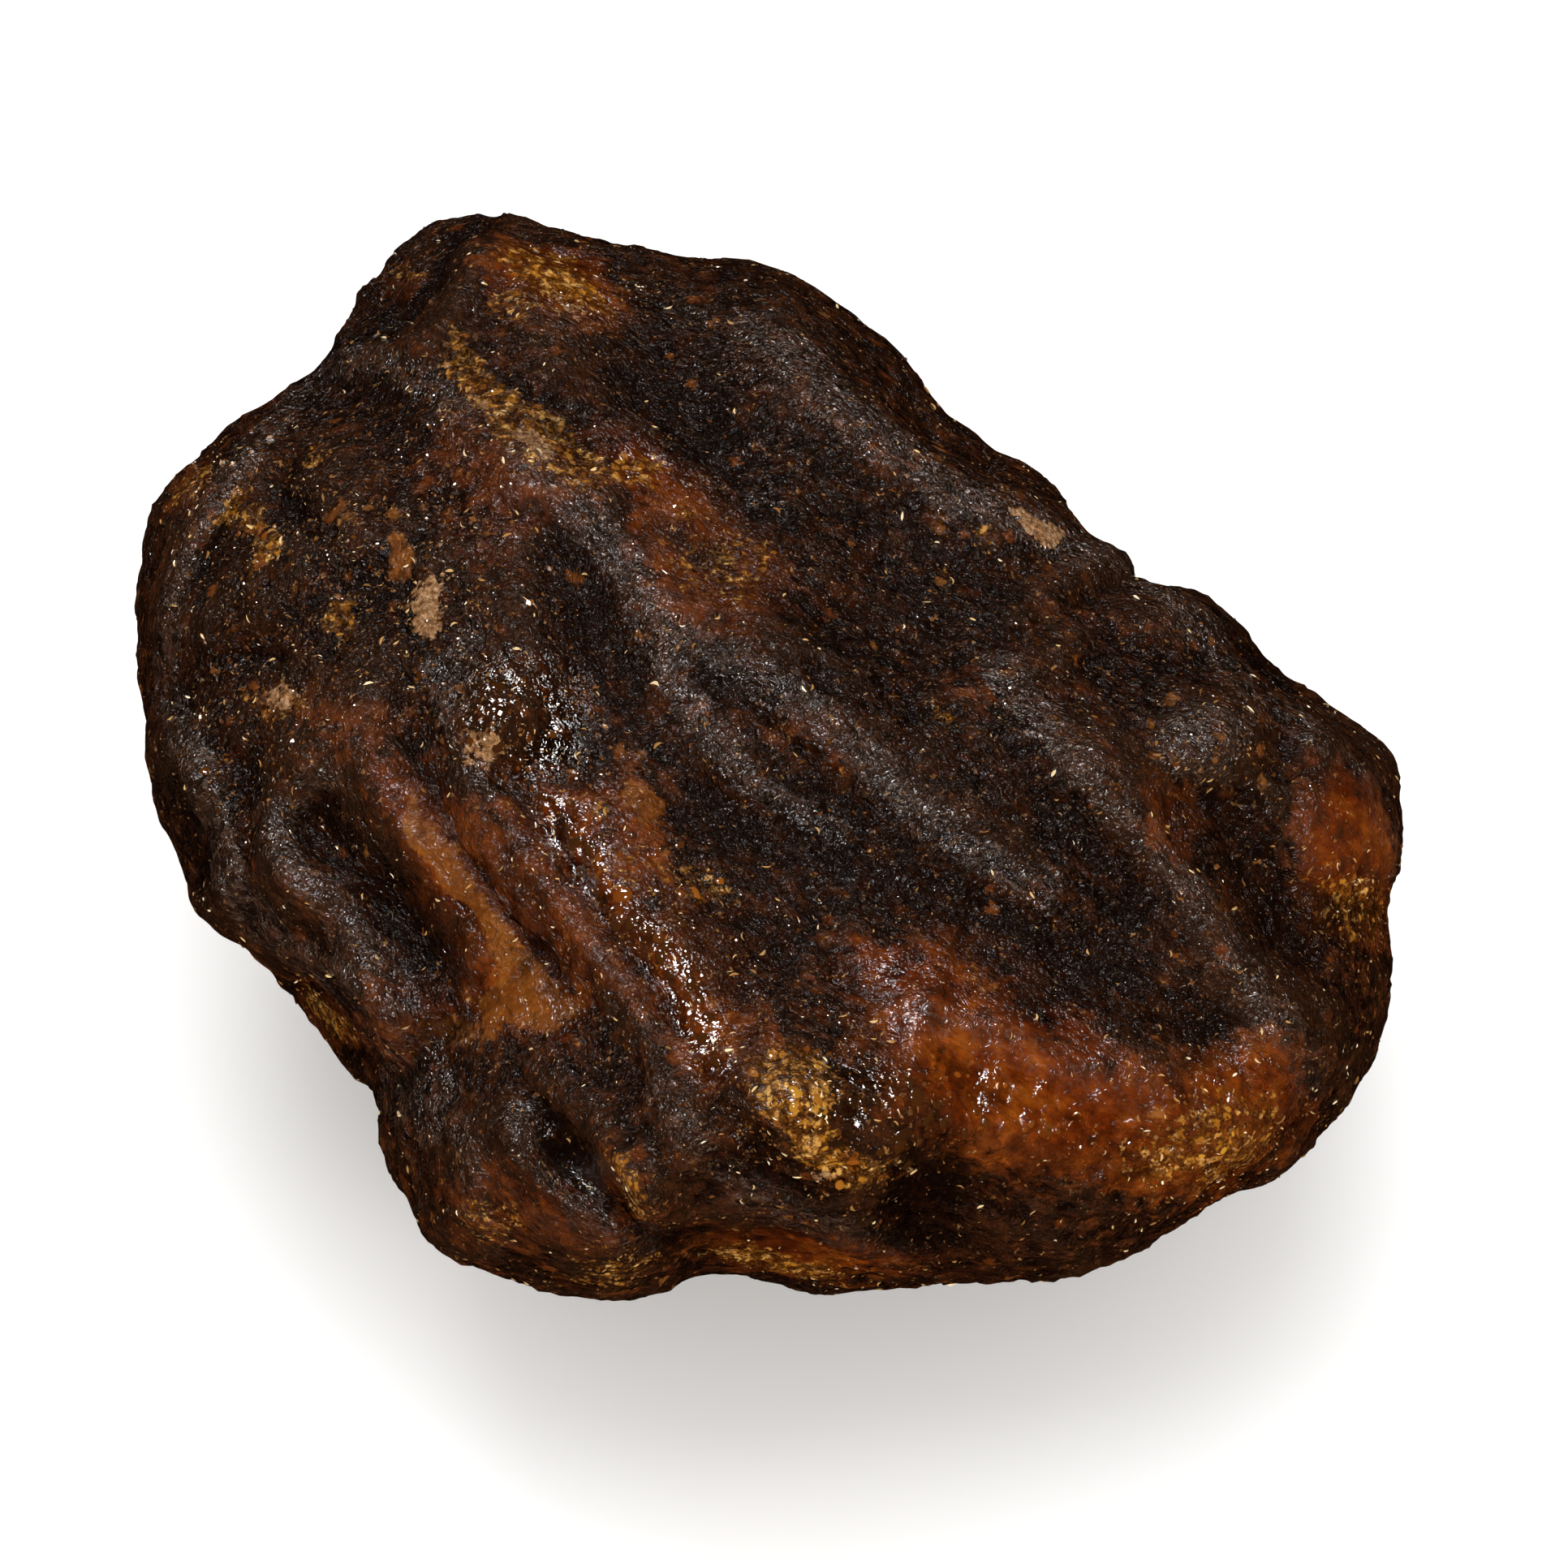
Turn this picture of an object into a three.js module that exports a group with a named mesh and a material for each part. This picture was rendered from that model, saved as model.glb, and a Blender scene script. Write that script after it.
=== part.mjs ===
// Raw amber nugget, modelled as one solid piece. Millimetres, +Z up.
//
// The nugget is a lump of hardened resin, wider than it is tall, that lies on its underside with
// its broad ribbed face turned up and to the front. It is described in a face frame:
//   u  to the right along the broad face
//   v  up along the broad face
//   w  straight out of the broad face
// The rim is the closed curve where the broad face turns over to the underside. Each point of the
// body is found from a direction on a sphere: the rim gives how far it reaches in u and v, and two
// domes, one on each side of the rim, give w. Crests, grooves, ledges and swellings are then added
// to the domes along w, a slow three-dimensional wander breaks up the whole surface, and the
// lowest points are worn flat where the nugget stands.
import * as THREE from "three";
import { mergeVertices } from "three/addons/utils/BufferGeometryUtils.js";

// ---- driving dimensions, millimetres and degrees
const FACE_LEAN_DEG = 40; // the broad face looks this far above the horizon
const RIM_SLOPE = -0.5; // w per v: the rim is nearer the viewer of the broad face at its foot
const FACE_DOME = 19.5; // height of the broad face's dome over the rim
const BACK_DOME = 19; // depth of the underside's dome under the rim
const DOME_POWER = 2.35; // 2 is an ellipsoid, more is squarer
const DETAIL = 19; // icosahedron subdivisions: 20 * (DETAIL + 1)^2 triangles
const STANDING_DEPTH = 0.9; // how much of the lowest points is worn flat
const BODY_COLOUR = 0x3a1a0a;

// Reach of the rim from the centre of the broad face, every 5 degrees from +u towards +v.
const RIM = [
  28.9, 26.1, 23.6, 22.7, 21.3, 18.9, 19.2, 18.3, 18.4, 18.5, 18.3, 17.9,
  18.1, 18.3, 19.2, 20.2, 21.1, 22.1, 23.2, 23.7, 24.1, 25.2, 26.6, 28.4,
  30.7, 31.1, 30.6, 29.7, 29, 29.6, 30.7, 31.8, 32.1, 31.3, 30.3, 29.9,
  29.9, 29.5, 28.6, 28.3, 26.2, 25.4, 24.8, 24.5, 23.8, 25.2, 26.3, 27.4,
  27.1, 26.7, 26.3, 25.5, 24, 23.7, 23.8, 24.2, 24.4, 24.9, 25.5, 26.6,
  27.7, 28.3, 28.7, 29.2, 30.1, 30.3, 30.9, 30.9, 30.7, 29.8, 30.1, 29.7,
];

// Relief of the broad face, along w.
// ridge: a crest (or a groove, if height is negative) along a line of [u, v] points
// ledge: the side to the right of the line drops by -height (or the left side rises by height)
//        within width, and comes back over reach
// bump: a round swelling or hollow with half-widths ra and rb, turned by angle degrees
const FACE_RELIEF = [
  {
    name: "main crest upper",
    kind: "ridge",
    pts: [[-21, 19.1], [-17.7, 18.3], [-15.7, 16.4], [-13.6, 14], [-12, 10.1], [-11.5, 5.6], [-12.2, 1.9]],
    width: 2.8, height: 1,
  },
  {
    name: "main crest lower",
    kind: "ridge",
    pts: [[-12.2, 1.5], [-9.6, -2.9], [-6.9, -6.7], [-4, -10.9], [-2, -13.9], [1.5, -16.3], [5.9, -17.2]],
    width: 3.36, height: 2,
  },
  {
    name: "middle crest",
    kind: "ridge",
    pts: [[-17.7, 18.8], [-15.7, 16.5], [-13.6, 14.6], [-10.2, 13], [-8.4, 11.4], [-7.2, 9.8], [-6.3, 7.6], [-4.1, 5.6], [-1.9, 5.2], [0.4, 3.6], [1.8, 1.8], [4.4, -0.7], [8.1, -3.7], [12.1, -5.7]],
    width: 1.87, height: 0.8,
  },
  {
    name: "middle crest branch",
    kind: "ridge",
    pts: [[-6.3, 7.1], [-5.6, 3.9], [-4.2, 2.1], [-2.8, 0.3], [0, -2], [3.7, -4]],
    width: 1.27, height: 0.5,
  },
  {
    name: "back crest",
    kind: "ridge",
    pts: [[-2.1, 20.8], [-0.1, 19.6], [3.1, 16.3], [6.4, 13.4], [9.3, 12.2], [11.2, 11], [13.7, 10], [17.1, 8.6], [18.6, 6.6], [20.6, 4.9], [22.7, 2.6]],
    width: 1.94, height: 1.6,
  },
  {
    name: "outer back crest",
    kind: "ridge",
    pts: [[-1.2, 22.9], [1.9, 20.5], [4.5, 17.9], [7.5, 16.3], [10.6, 15.1], [13.2, 12.8], [15, 10.9]],
    width: 1.34, height: 0.9,
  },
  {
    name: "back gutter",
    kind: "ridge",
    pts: [[1, 20.1], [3.5, 17.7], [5.9, 15.7], [8.5, 14.2], [11.1, 12.7], [13.8, 10.8]],
    width: 1.12, height: -1,
  },
  {
    name: "fold over pocket",
    kind: "ridge",
    pts: [[9, 9.4], [12, 6.8], [14, 5.8], [16.6, 5.3], [18.4, 3.8]],
    width: 1.49, height: 0.3,
  },
  { name: "dark pocket", kind: "bump", at: [14.8, 4], ra: 2.99, rb: 1.72, angle: -25, height: -0.7 },
  {
    name: "long trough",
    kind: "ridge",
    pts: [[-10, 20.3], [-6.1, 16.3], [-1.1, 12.4], [3.7, 9.4], [8.2, 6.7], [12.3, 3.7]],
    width: 3.92, height: -1.5,
  },
  { name: "trough head", kind: "bump", at: [-3.4, 13.4], ra: 4.48, rb: 2.43, angle: -20, height: -0.6 },
  {
    name: "lower trough",
    kind: "ridge",
    pts: [[-7.4, 0], [-2.2, -2.9], [2.9, -5.1], [8, -7.7], [12.5, -9.5], [16.9, -11.8]],
    width: 3.17, height: -0.8,
  },
  {
    name: "left trough",
    kind: "ridge",
    pts: [[-12, 11.7], [-9.7, 8.6], [-8, 5.2], [-6.3, 1.8]],
    width: 1.72, height: -0.6,
  },
  {
    name: "upper trough rib",
    kind: "ridge",
    pts: [[-9.9, 17.1], [-6.8, 15.1], [-4.1, 10.9], [0, 8.6], [3.7, 7.1], [7.4, 4.5]],
    width: 1.49, height: 0.5,
  },
  {
    name: "end crest",
    kind: "ridge",
    pts: [[9.7, 4.1], [12.3, 1.3], [14.6, -0.9], [16.4, -3.4], [18.4, -5.5], [20.2, -8.8], [22.7, -11.4], [24.2, -13.5], [24.8, -15.9]],
    width: 1.57, height: 1.5,
  },
  {
    name: "end hollow",
    kind: "ridge",
    pts: [[17.8, 0], [19.3, -3], [21.1, -5.9], [23.4, -8.5], [25.7, -10.6]],
    width: 2.61, height: -1.4,
  },
  { name: "end lobe", kind: "bump", at: [26.3, -3.8], ra: 3.55, rb: 4.85, angle: 10, height: 2.6 },
  { name: "granular swelling", kind: "bump", at: [19.8, 0.6], ra: 2.61, rb: 2.24, angle: -30, height: 1.5 },
  {
    name: "end shoulder",
    kind: "ridge",
    pts: [[19.3, 4.9], [22.1, 2.5], [24.2, 1.1], [25.6, -1.1]],
    width: 1.49, height: 1.6,
  },
  { name: "end notch", kind: "bump", at: [22.8, 0], ra: 1.49, rb: 1.87, angle: 20, height: -0.9 },
  {
    name: "end hollow rib",
    kind: "ridge",
    pts: [[20, -4.1], [22.3, -7.1], [25, -9.3]],
    width: 0.82, height: 0.5,
  },
  {
    name: "front lip crest",
    kind: "ridge",
    pts: [[3.7, -9.9], [6.2, -10.9], [8.9, -11.9], [12.2, -13.1], [15.7, -14.5], [18.8, -16.2]],
    width: 1.79, height: 1.5,
  },
  { name: "front lobe", kind: "bump", at: [11, -17.2], ra: 10.08, rb: 3.92, angle: -8, height: 2.2 },
  { name: "front knuckle", kind: "bump", at: [1.8, -15.9], ra: 3.55, rb: 2.99, angle: -30, height: 1.5 },
  { name: "corner knuckle", kind: "bump", at: [21.1, -16.7], ra: 4.48, rb: 3.36, angle: 40, height: 1.8 },
  {
    name: "lip saddle",
    kind: "ridge",
    pts: [[5.5, -21.7], [7, -19.1], [6.6, -17.2]],
    width: 1.49, height: -0.5,
  },
  { name: "wet knuckle", kind: "bump", at: [5.8, -16.3], ra: 1.94, rb: 1.64, angle: 0, height: 0.9 },
  {
    name: "deep groove",
    kind: "ridge",
    pts: [[-21.2, 0.6], [-21.4, -2], [-20, -4.8], [-18, -6.7], [-15.5, -9.4], [-14, -11.6]],
    width: 2.76, height: -2,
  },
  {
    name: "groove lip",
    kind: "ridge",
    pts: [[-16.2, 4.4], [-18.6, 3], [-19.2, 1.7], [-18.5, -0.4], [-17.6, -2.9], [-16.2, -5.2], [-14.7, -7.4], [-13.1, -9.2], [-11.8, -11.2]],
    width: 1.34, height: 1.2,
  },
  {
    name: "second groove",
    kind: "ridge",
    pts: [[-17.1, 3], [-16.9, 0.9], [-15.3, -2], [-13.3, -4.4], [-11, -7.3], [-8.4, -10.6], [-6.2, -13.9]],
    width: 1.34, height: -0.8,
  },
  {
    name: "long fold",
    kind: "ridge",
    pts: [[-14.9, 2.6], [-14.8, 0.2], [-13.3, -2.6], [-11.4, -5], [-9.5, -7.7], [-7.3, -10.4], [-5.4, -12.8], [-4.5, -15], [-3.3, -17.6], [-1.5, -19.8], [1.1, -21.7]],
    width: 1.42, height: 0.9,
  },
  {
    name: "third groove",
    kind: "ridge",
    pts: [[-11.4, -1.1], [-9.9, -4.4], [-7.9, -7.3], [-5.8, -10.2], [-4, -13.5], [-2.2, -16.8], [0, -19.1]],
    width: 1.34, height: -0.7,
  },
  {
    name: "left rim of groove",
    kind: "ridge",
    pts: [[-20.2, 3], [-21.2, 0.6], [-22.7, -1.7], [-23.2, -3.7], [-22.2, -5.7], [-20.4, -7.3], [-19, -9.1], [-18.1, -11.3], [-17.4, -13.6], [-17.8, -16.5]],
    width: 1.27, height: 2,
  },
  {
    name: "left rib",
    kind: "ridge",
    pts: [[-28.9, 3.4], [-28.5, 1.3], [-26.8, -1.1], [-25.8, -3.3], [-25.5, -5.5], [-24.8, -7.3], [-22.4, -9.4], [-19.5, -10.9], [-18.1, -13.1], [-17.8, -15.6]],
    width: 1.12, height: 1.5,
  },
  { name: "left scallop", kind: "bump", at: [-24.1, -7.1], ra: 1.42, rb: 1.12, angle: -40, height: -1.5 },
  { name: "left scallop 2", kind: "bump", at: [-23.6, -1.1], ra: 1.49, rb: 2.24, angle: 10, height: -1 },
  { name: "left scallop 3", kind: "bump", at: [-27.2, -4.2], ra: 1.34, rb: 2.24, angle: -20, height: -1.2 },
  { name: "left shoulder", kind: "bump", at: [-21.2, 11], ra: 6.35, rb: 5.6, angle: 20, height: 1.5 },
  {
    name: "left shoulder edge",
    kind: "ridge",
    pts: [[-21.8, 18.4], [-23.7, 16.9], [-24.7, 14.2], [-26.4, 12.2], [-28.3, 9.6], [-29, 6.5], [-29.1, 3.4]],
    width: 1.27, height: 1.8,
  },
  { name: "shoulder facet", kind: "bump", at: [-26, 14.9], ra: 1.87, rb: 1.12, angle: 45, height: -1.2 },
  { name: "left pit", kind: "bump", at: [-22.6, 12], ra: 0.97, rb: 1.64, angle: -5, height: -1 },
  { name: "pit by grain", kind: "bump", at: [-19.1, 7.1], ra: 3.55, rb: 2.24, angle: -20, height: -0.9 },
  { name: "pit lower", kind: "bump", at: [-23.1, 4.7], ra: 2.24, rb: 1.49, angle: 0, height: -0.9 },
  { name: "shiny knob", kind: "bump", at: [-12.8, 1.5], ra: 2.24, rb: 2.17, angle: 0, height: 1.6 },
  { name: "bottom lobe", kind: "bump", at: [-10.6, -19.4], ra: 6.35, rb: 4.85, angle: 10, height: 1.6 },
  {
    name: "bottom sweep",
    kind: "ridge",
    pts: [[-13.2, -14.7], [-12, -17], [-10.6, -19.1], [-8.2, -21.1], [-6.2, -21.8], [-4.1, -22]],
    width: 1.42, height: 1.6,
  },
  { name: "bottom hollow", kind: "bump", at: [-9.3, -17.8], ra: 2.32, rb: 1.57, angle: -52, height: -0.8 },
  {
    name: "bottom fold",
    kind: "ridge",
    pts: [[-14.8, -15.1], [-14.2, -18.4], [-13.7, -21], [-12.3, -23.3]],
    width: 0.97, height: 0.9,
  },
  {
    name: "bottom orange rib",
    kind: "ridge",
    pts: [[-9.9, -14.6], [-7.9, -17.2], [-6.6, -19.2], [-5.7, -21.1]],
    width: 1.05, height: 1.2,
  },
  {
    name: "knob front",
    kind: "ridge",
    pts: [[-12.5, 24.5], [-14, 23.8], [-14.8, 22.6], [-15.4, 21], [-17.3, 19.2], [-20.1, 18.4]],
    width: 0.97, height: 1.5,
  },
  { name: "top knob", kind: "bump", at: [-17.9, 22.8], ra: 2.17, rb: 1.12, angle: 40, height: 2.2 },
  { name: "top orange swell", kind: "bump", at: [-11.2, 22.4], ra: 4.11, rb: 2.05, angle: -20, height: 1.6 },
];

// Steps where a lobe lies further back than its neighbour: the whole body moves along w there, face
// and underside together.
const LOBE_STEPS = [
  {
    name: "front overhang",
    kind: "ledge",
    pts: [[-9.5, -16.2], [-7.3, -18.7], [-5.3, -20.9], [-2.9, -21.2], [0.4, -21.8], [3.7, -23], [7.1, -23.7]],
    width: 0.56, height: 5.5, reach: 9.71,
  },
  {
    name: "under ledge left",
    kind: "ledge",
    pts: [[-24, -8.7], [-20.3, -10.3], [-18.6, -12.4], [-18.1, -15.2]],
    width: 0.52, height: -5, reach: 7.47,
  },
  {
    name: "knob step",
    kind: "ledge",
    pts: [[-12.7, 26.5], [-14, 25.3], [-15.5, 23.9], [-16, 22.3], [-17.9, 20.3], [-21.1, 19.4]],
    width: 0.34, height: -4.6, reach: 11.2,
  },
  {
    name: "back lobe step",
    kind: "ledge",
    pts: [[25.2, 2.4], [23.2, 3], [20.6, 5.3], [18.3, 8.1]],
    width: 0.49, height: -4, reach: 7.47,
  },
];

// Relief of the underside and far side, in the same u and v.
const BACK_RELIEF = [
  {
    name: "far side crest",
    kind: "ridge",
    pts: [[-22, 20], [-12, 17], [0, 12], [10, 6], [20, 0]],
    width: 3.4, height: 2,
  },
  {
    name: "far side gutter",
    kind: "ridge",
    pts: [[-18, 13], [-8, 10], [3, 5], [13, -1], [22, -6]],
    width: 2.8, height: -2.2,
  },
  {
    name: "far side rib",
    kind: "ridge",
    pts: [[-25, 10], [-14, 6], [-4, 1], [6, -5], [15, -9]],
    width: 3, height: 1.6,
  },
  {
    name: "under groove",
    kind: "ridge",
    pts: [[-20, -2], [-10, -5], [0, -9], [9, -15]],
    width: 3, height: -1.8,
  },
  {
    name: "under rib",
    kind: "ridge",
    pts: [[-24, -6], [-14, -10], [-5, -14], [3, -20]],
    width: 2.6, height: 1.4,
  },
  { name: "far swelling", kind: "bump", at: [2, 17], ra: 7, rb: 4.5, angle: -20, height: 1.6 },
  { name: "far hollow", kind: "bump", at: [-10, 24], ra: 5, rb: 4, angle: 0, height: -1.4 },
  { name: "under swelling", kind: "bump", at: [12, -12], ra: 8, rb: 6, angle: -30, height: 1.4 },
  { name: "under hollow", kind: "bump", at: [-8, 2], ra: 6, rb: 4, angle: -30, height: -1.3 },
];

// Feet: places on the underside, [x, y] in the finished part's plan, that reach down to stand on.
const FEET = [
  [-11, -9, 6, 1.2],
  [12, -6, 7, 2],
  [-3, 14, 10, 5.6],
];

// ---- helpers
const rad = (deg) => (deg * Math.PI) / 180;
const clamp = (x, lo, hi) => Math.min(hi, Math.max(lo, x));
const smooth = (t) => {
  const k = clamp(t, 0, 1);
  return k * k * (3 - 2 * k);
};

function rimReach(theta) {
  const n = RIM.length;
  const a = (((theta / (2 * Math.PI)) * n) % n + n) % n;
  const i = Math.floor(a);
  const t = a - i;
  const [p0, p1, p2, p3] = [-1, 0, 1, 2].map((k) => RIM[(i + k + n) % n]);
  return (
    p1 +
    0.5 * t * (p2 - p0 + t * (2 * p0 - 5 * p1 + 4 * p2 - p3 + t * (3 * (p1 - p2) + p3 - p0)))
  );
}

// A polyline rounded into a smooth curve of short straight pieces.
function rounded(points) {
  if (points.length < 3) return points;
  const curve = new THREE.CatmullRomCurve3(
    points.map(([u, v]) => new THREE.Vector3(u, v, 0)),
    false,
    "centripetal",
  );
  return curve.getPoints((points.length - 1) * 4).map((p) => [p.x, p.y]);
}

// Nearest point of a polyline: distance, side (+ to its left), place along it from 0 to 1, and how
// far past an end the point lies.
function nearest(line, u, v) {
  let best = { d2: Infinity };
  const n = line.length - 1;
  for (let i = 0; i < n; i++) {
    const [au, av] = line[i];
    const [bu, bv] = line[i + 1];
    const du = bu - au;
    const dv = bv - av;
    const len2 = du * du + dv * dv || 1e-9;
    const raw = ((u - au) * du + (v - av) * dv) / len2;
    const t = clamp(raw, 0, 1);
    const pu = u - (au + du * t);
    const pv = v - (av + dv * t);
    const d2 = pu * pu + pv * pv;
    if (d2 < best.d2) {
      const past = (i === 0 && raw < 0 ? -raw : i === n - 1 && raw > 1 ? raw - 1 : 0) * Math.sqrt(len2);
      best = { d2, t: (i + t) / n, side: Math.sign(du * (v - av) - dv * (u - au)) || 1, past };
    }
  }
  return { ...best, d: Math.sqrt(best.d2) };
}

function reliefOf(features) {
  const ready = features.map((f) => (f.pts ? { ...f, line: rounded(f.pts) } : f));
  return (u, v) => {
    let sum = 0;
    for (const f of ready) {
      if (f.kind === "bump") {
        const c = Math.cos(rad(f.angle));
        const s = Math.sin(rad(f.angle));
        const du = u - f.at[0];
        const dv = v - f.at[1];
        const a = (du * c + dv * s) / f.ra;
        const b = (-du * s + dv * c) / f.rb;
        sum += f.height * Math.exp(-(a * a + b * b));
      } else {
        const q = nearest(f.line, u, v);
        const ends = smooth(q.t / 0.25) * smooth((1 - q.t) / 0.25);
        if (f.kind === "ridge") {
          const k = q.d / f.width;
          sum += f.height * (0.08 + 0.92 * ends) * Math.exp(-k * k) * Math.exp(-((q.past / f.width) ** 2));
        } else {
          const d = q.d * q.side * Math.sign(f.height);
          const k = Math.max(d, 0) / f.reach;
          const gate = Math.exp(-((q.past / (0.4 * f.reach)) ** 2)) * (0.15 + 0.85 * ends);
          sum += f.height * smooth(d / (2 * f.width) + 0.5) * Math.exp(-k * k) * gate;
        }
      }
    }
    return sum;
  };
}

// Smooth gradient noise in three dimensions, about -1 to 1.
function hash(i, j, k, seed) {
  let h = (i * 374761393 + j * 668265263 + k * 2147483647 + seed * 1274126177) | 0;
  h = Math.imul(h ^ (h >>> 13), 1274126177);
  h = Math.imul(h ^ (h >>> 16), 2246822519);
  return (h ^ (h >>> 15)) >>> 0;
}
function gradient(h, x, y, z) {
  const a = ((h & 1023) / 1024) * 2 * Math.PI;
  const c = ((h >>> 10) & 1023) / 511.5 - 1;
  const s = Math.sqrt(1 - c * c);
  return x * s * Math.cos(a) + y * s * Math.sin(a) + z * c;
}
function noise(x, y, z, seed) {
  const [i, j, k] = [x, y, z].map(Math.floor);
  const [fx, fy, fz] = [x - i, y - j, z - k];
  const fade = (t) => t * t * t * (t * (t * 6 - 15) + 10);
  const [a, b, c] = [fade(fx), fade(fy), fade(fz)];
  const g = (di, dj, dk) => gradient(hash(i + di, j + dj, k + dk, seed), fx - di, fy - dj, fz - dk);
  const mix = (p, q, t) => p + (q - p) * t;
  return (
    1.6 *
    mix(
      mix(mix(g(0, 0, 0), g(1, 0, 0), a), mix(g(0, 1, 0), g(1, 1, 0), a), b),
      mix(mix(g(0, 0, 1), g(1, 0, 1), a), mix(g(0, 1, 1), g(1, 1, 1), a), b),
      c,
    )
  );
}

// Slow wander of the surface, drawn out along the direction in which the resin once flowed.
const FLOW = new THREE.Vector3(0.74, -0.6, 0.3).normalize();
const FLOW_STRETCH = 2.2;
const WANDER = [
  { wave: 13, height: 0.9, seed: 3 },
  { wave: 6.5, height: 0.5, seed: 11 },
  { wave: 3.4, height: 0.22, seed: 29 },
];
function wander(p) {
  const along = p.dot(FLOW);
  const q = p.clone().addScaledVector(FLOW, -along * (1 - 1 / FLOW_STRETCH));
  return WANDER.reduce(
    (sum, { wave, height, seed }) => sum + height * noise(q.x / wave, q.y / wave, q.z / wave, seed),
    0,
  );
}

// ---- the body in its face frame
const faceRelief = reliefOf(FACE_RELIEF);
const backRelief = reliefOf(BACK_RELIEF);
const lobeStep = reliefOf(LOBE_STEPS);

function bodyPoint(dir) {
  const s = Math.hypot(dir.x, dir.y);
  const theta = Math.atan2(dir.y, dir.x);
  const rho = Math.pow(s, 2 / DOME_POWER);
  const reach = rimReach(theta) * rho;
  const u = reach * Math.cos(theta);
  const v = reach * Math.sin(theta);
  const dome = Math.pow(Math.abs(dir.z), 2 / DOME_POWER);
  const inner = 1 - smooth((rho - 0.9) / 0.1);
  let w = RIM_SLOPE * v + lobeStep(u, v);
  if (dir.z >= 0) {
    w += FACE_DOME * dome + faceRelief(u, v) * inner;
  } else {
    // relief that reaches the rim from the face carries on a little way round onto the back
    const carried = faceRelief(u, v) * smooth((rho - 0.72) / 0.2) * 0.6;
    w -= BACK_DOME * dome + (carried + backRelief(u, v)) * inner;
  }
  return new THREE.Vector3(u, v, w);
}

// Face frame to part frame: the face leans back from the viewer and looks up.
const LEAN = rad(FACE_LEAN_DEG);
function toPart(p) {
  return new THREE.Vector3(
    p.x,
    p.y * Math.sin(LEAN) - p.z * Math.cos(LEAN),
    p.y * Math.cos(LEAN) + p.z * Math.sin(LEAN),
  );
}

function nuggetGeometry() {
  const sphere = new THREE.IcosahedronGeometry(1, DETAIL);
  sphere.deleteAttribute("normal");
  sphere.deleteAttribute("uv");
  const g = mergeVertices(sphere, 1e-5);
  const pos = g.getAttribute("position");
  const at = new THREE.Vector3();
  for (let i = 0; i < pos.count; i++) {
    at.fromBufferAttribute(pos, i).normalize();
    const p = toPart(bodyPoint(at));
    pos.setXYZ(i, p.x, p.y, p.z);
  }
  // wander along the normals of the shape so far
  g.computeVertexNormals();
  const nor = g.getAttribute("normal");
  const n = new THREE.Vector3();
  const moved = [];
  for (let i = 0; i < pos.count; i++) {
    at.fromBufferAttribute(pos, i);
    n.fromBufferAttribute(nor, i);
    moved.push(at.clone().addScaledVector(n, wander(at)));
  }
  moved.forEach((p, i) => pos.setXYZ(i, p.x, p.y, p.z));
  g.deleteAttribute("normal");
  // feet, then the worn flats they stand on
  g.computeBoundingBox();
  const box = g.boundingBox;
  const cx = (box.min.x + box.max.x) / 2;
  const cy = (box.min.y + box.max.y) / 2;
  let low = Infinity;
  for (let i = 0; i < pos.count; i++) {
    at.fromBufferAttribute(pos, i);
    if (at.z < 0) {
      let drop = 0;
      for (const [fx, fy, radius, depth] of FEET)
        drop += depth * Math.exp(-(((at.x - cx - fx) ** 2 + (at.y - cy - fy) ** 2) / radius ** 2));
      at.z -= drop * smooth(-at.z / 8);
      pos.setZ(i, at.z);
    }
    low = Math.min(low, at.z);
  }
  const floor = low + STANDING_DEPTH;
  for (let i = 0; i < pos.count; i++) pos.setZ(i, Math.max(pos.getZ(i), floor));
  g.computeBoundingBox();
  const b = g.boundingBox;
  const shift = [-(b.min.x + b.max.x) / 2, -(b.min.y + b.max.y) / 2, -b.min.z];
  g.translate(...shift);
  g.userData = { shift };
  g.computeVertexNormals();
  return g;
}

const amber = new THREE.Mesh(
  nuggetGeometry(),
  new THREE.MeshStandardMaterial({ color: BODY_COLOUR, roughness: 0.35, metalness: 0 }),
);
amber.name = "raw_amber_piece";

const group = new THREE.Group();
group.add(amber);

export default group;
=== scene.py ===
"""Raw amber nugget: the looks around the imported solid. Metres in Blender, millimetres in the shape code."""

import math

import bmesh
import bpy
import numpy as np
from mathutils import Matrix, Vector


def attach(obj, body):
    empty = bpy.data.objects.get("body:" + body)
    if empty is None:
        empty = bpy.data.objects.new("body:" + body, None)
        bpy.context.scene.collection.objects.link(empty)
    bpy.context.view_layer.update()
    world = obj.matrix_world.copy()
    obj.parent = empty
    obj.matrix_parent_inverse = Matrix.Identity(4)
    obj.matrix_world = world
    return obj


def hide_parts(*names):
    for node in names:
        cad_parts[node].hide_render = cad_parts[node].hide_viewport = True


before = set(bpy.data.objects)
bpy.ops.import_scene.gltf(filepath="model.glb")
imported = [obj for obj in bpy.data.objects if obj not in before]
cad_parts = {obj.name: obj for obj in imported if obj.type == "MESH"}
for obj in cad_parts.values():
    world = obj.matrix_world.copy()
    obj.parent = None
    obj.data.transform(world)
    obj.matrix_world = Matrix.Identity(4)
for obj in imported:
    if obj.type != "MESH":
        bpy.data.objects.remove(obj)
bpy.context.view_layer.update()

NODE = "raw_amber_piece"
MM = 0.001

# ------------------------------------------------------------------ the nugget's shape, as in the CAD
# A face frame: u right, v up along the broad face, w out of it, in millimetres.
FACE_LEAN = math.radians(40)
RIM_SLOPE = -0.5
FACE_DOME = 19.5
BACK_DOME = 19
DOME_POWER = 2.35
SHIFT = np.array([0.5037202835083008,0.21796417236328125,18.281719207763672])  # from the face frame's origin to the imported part's

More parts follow.
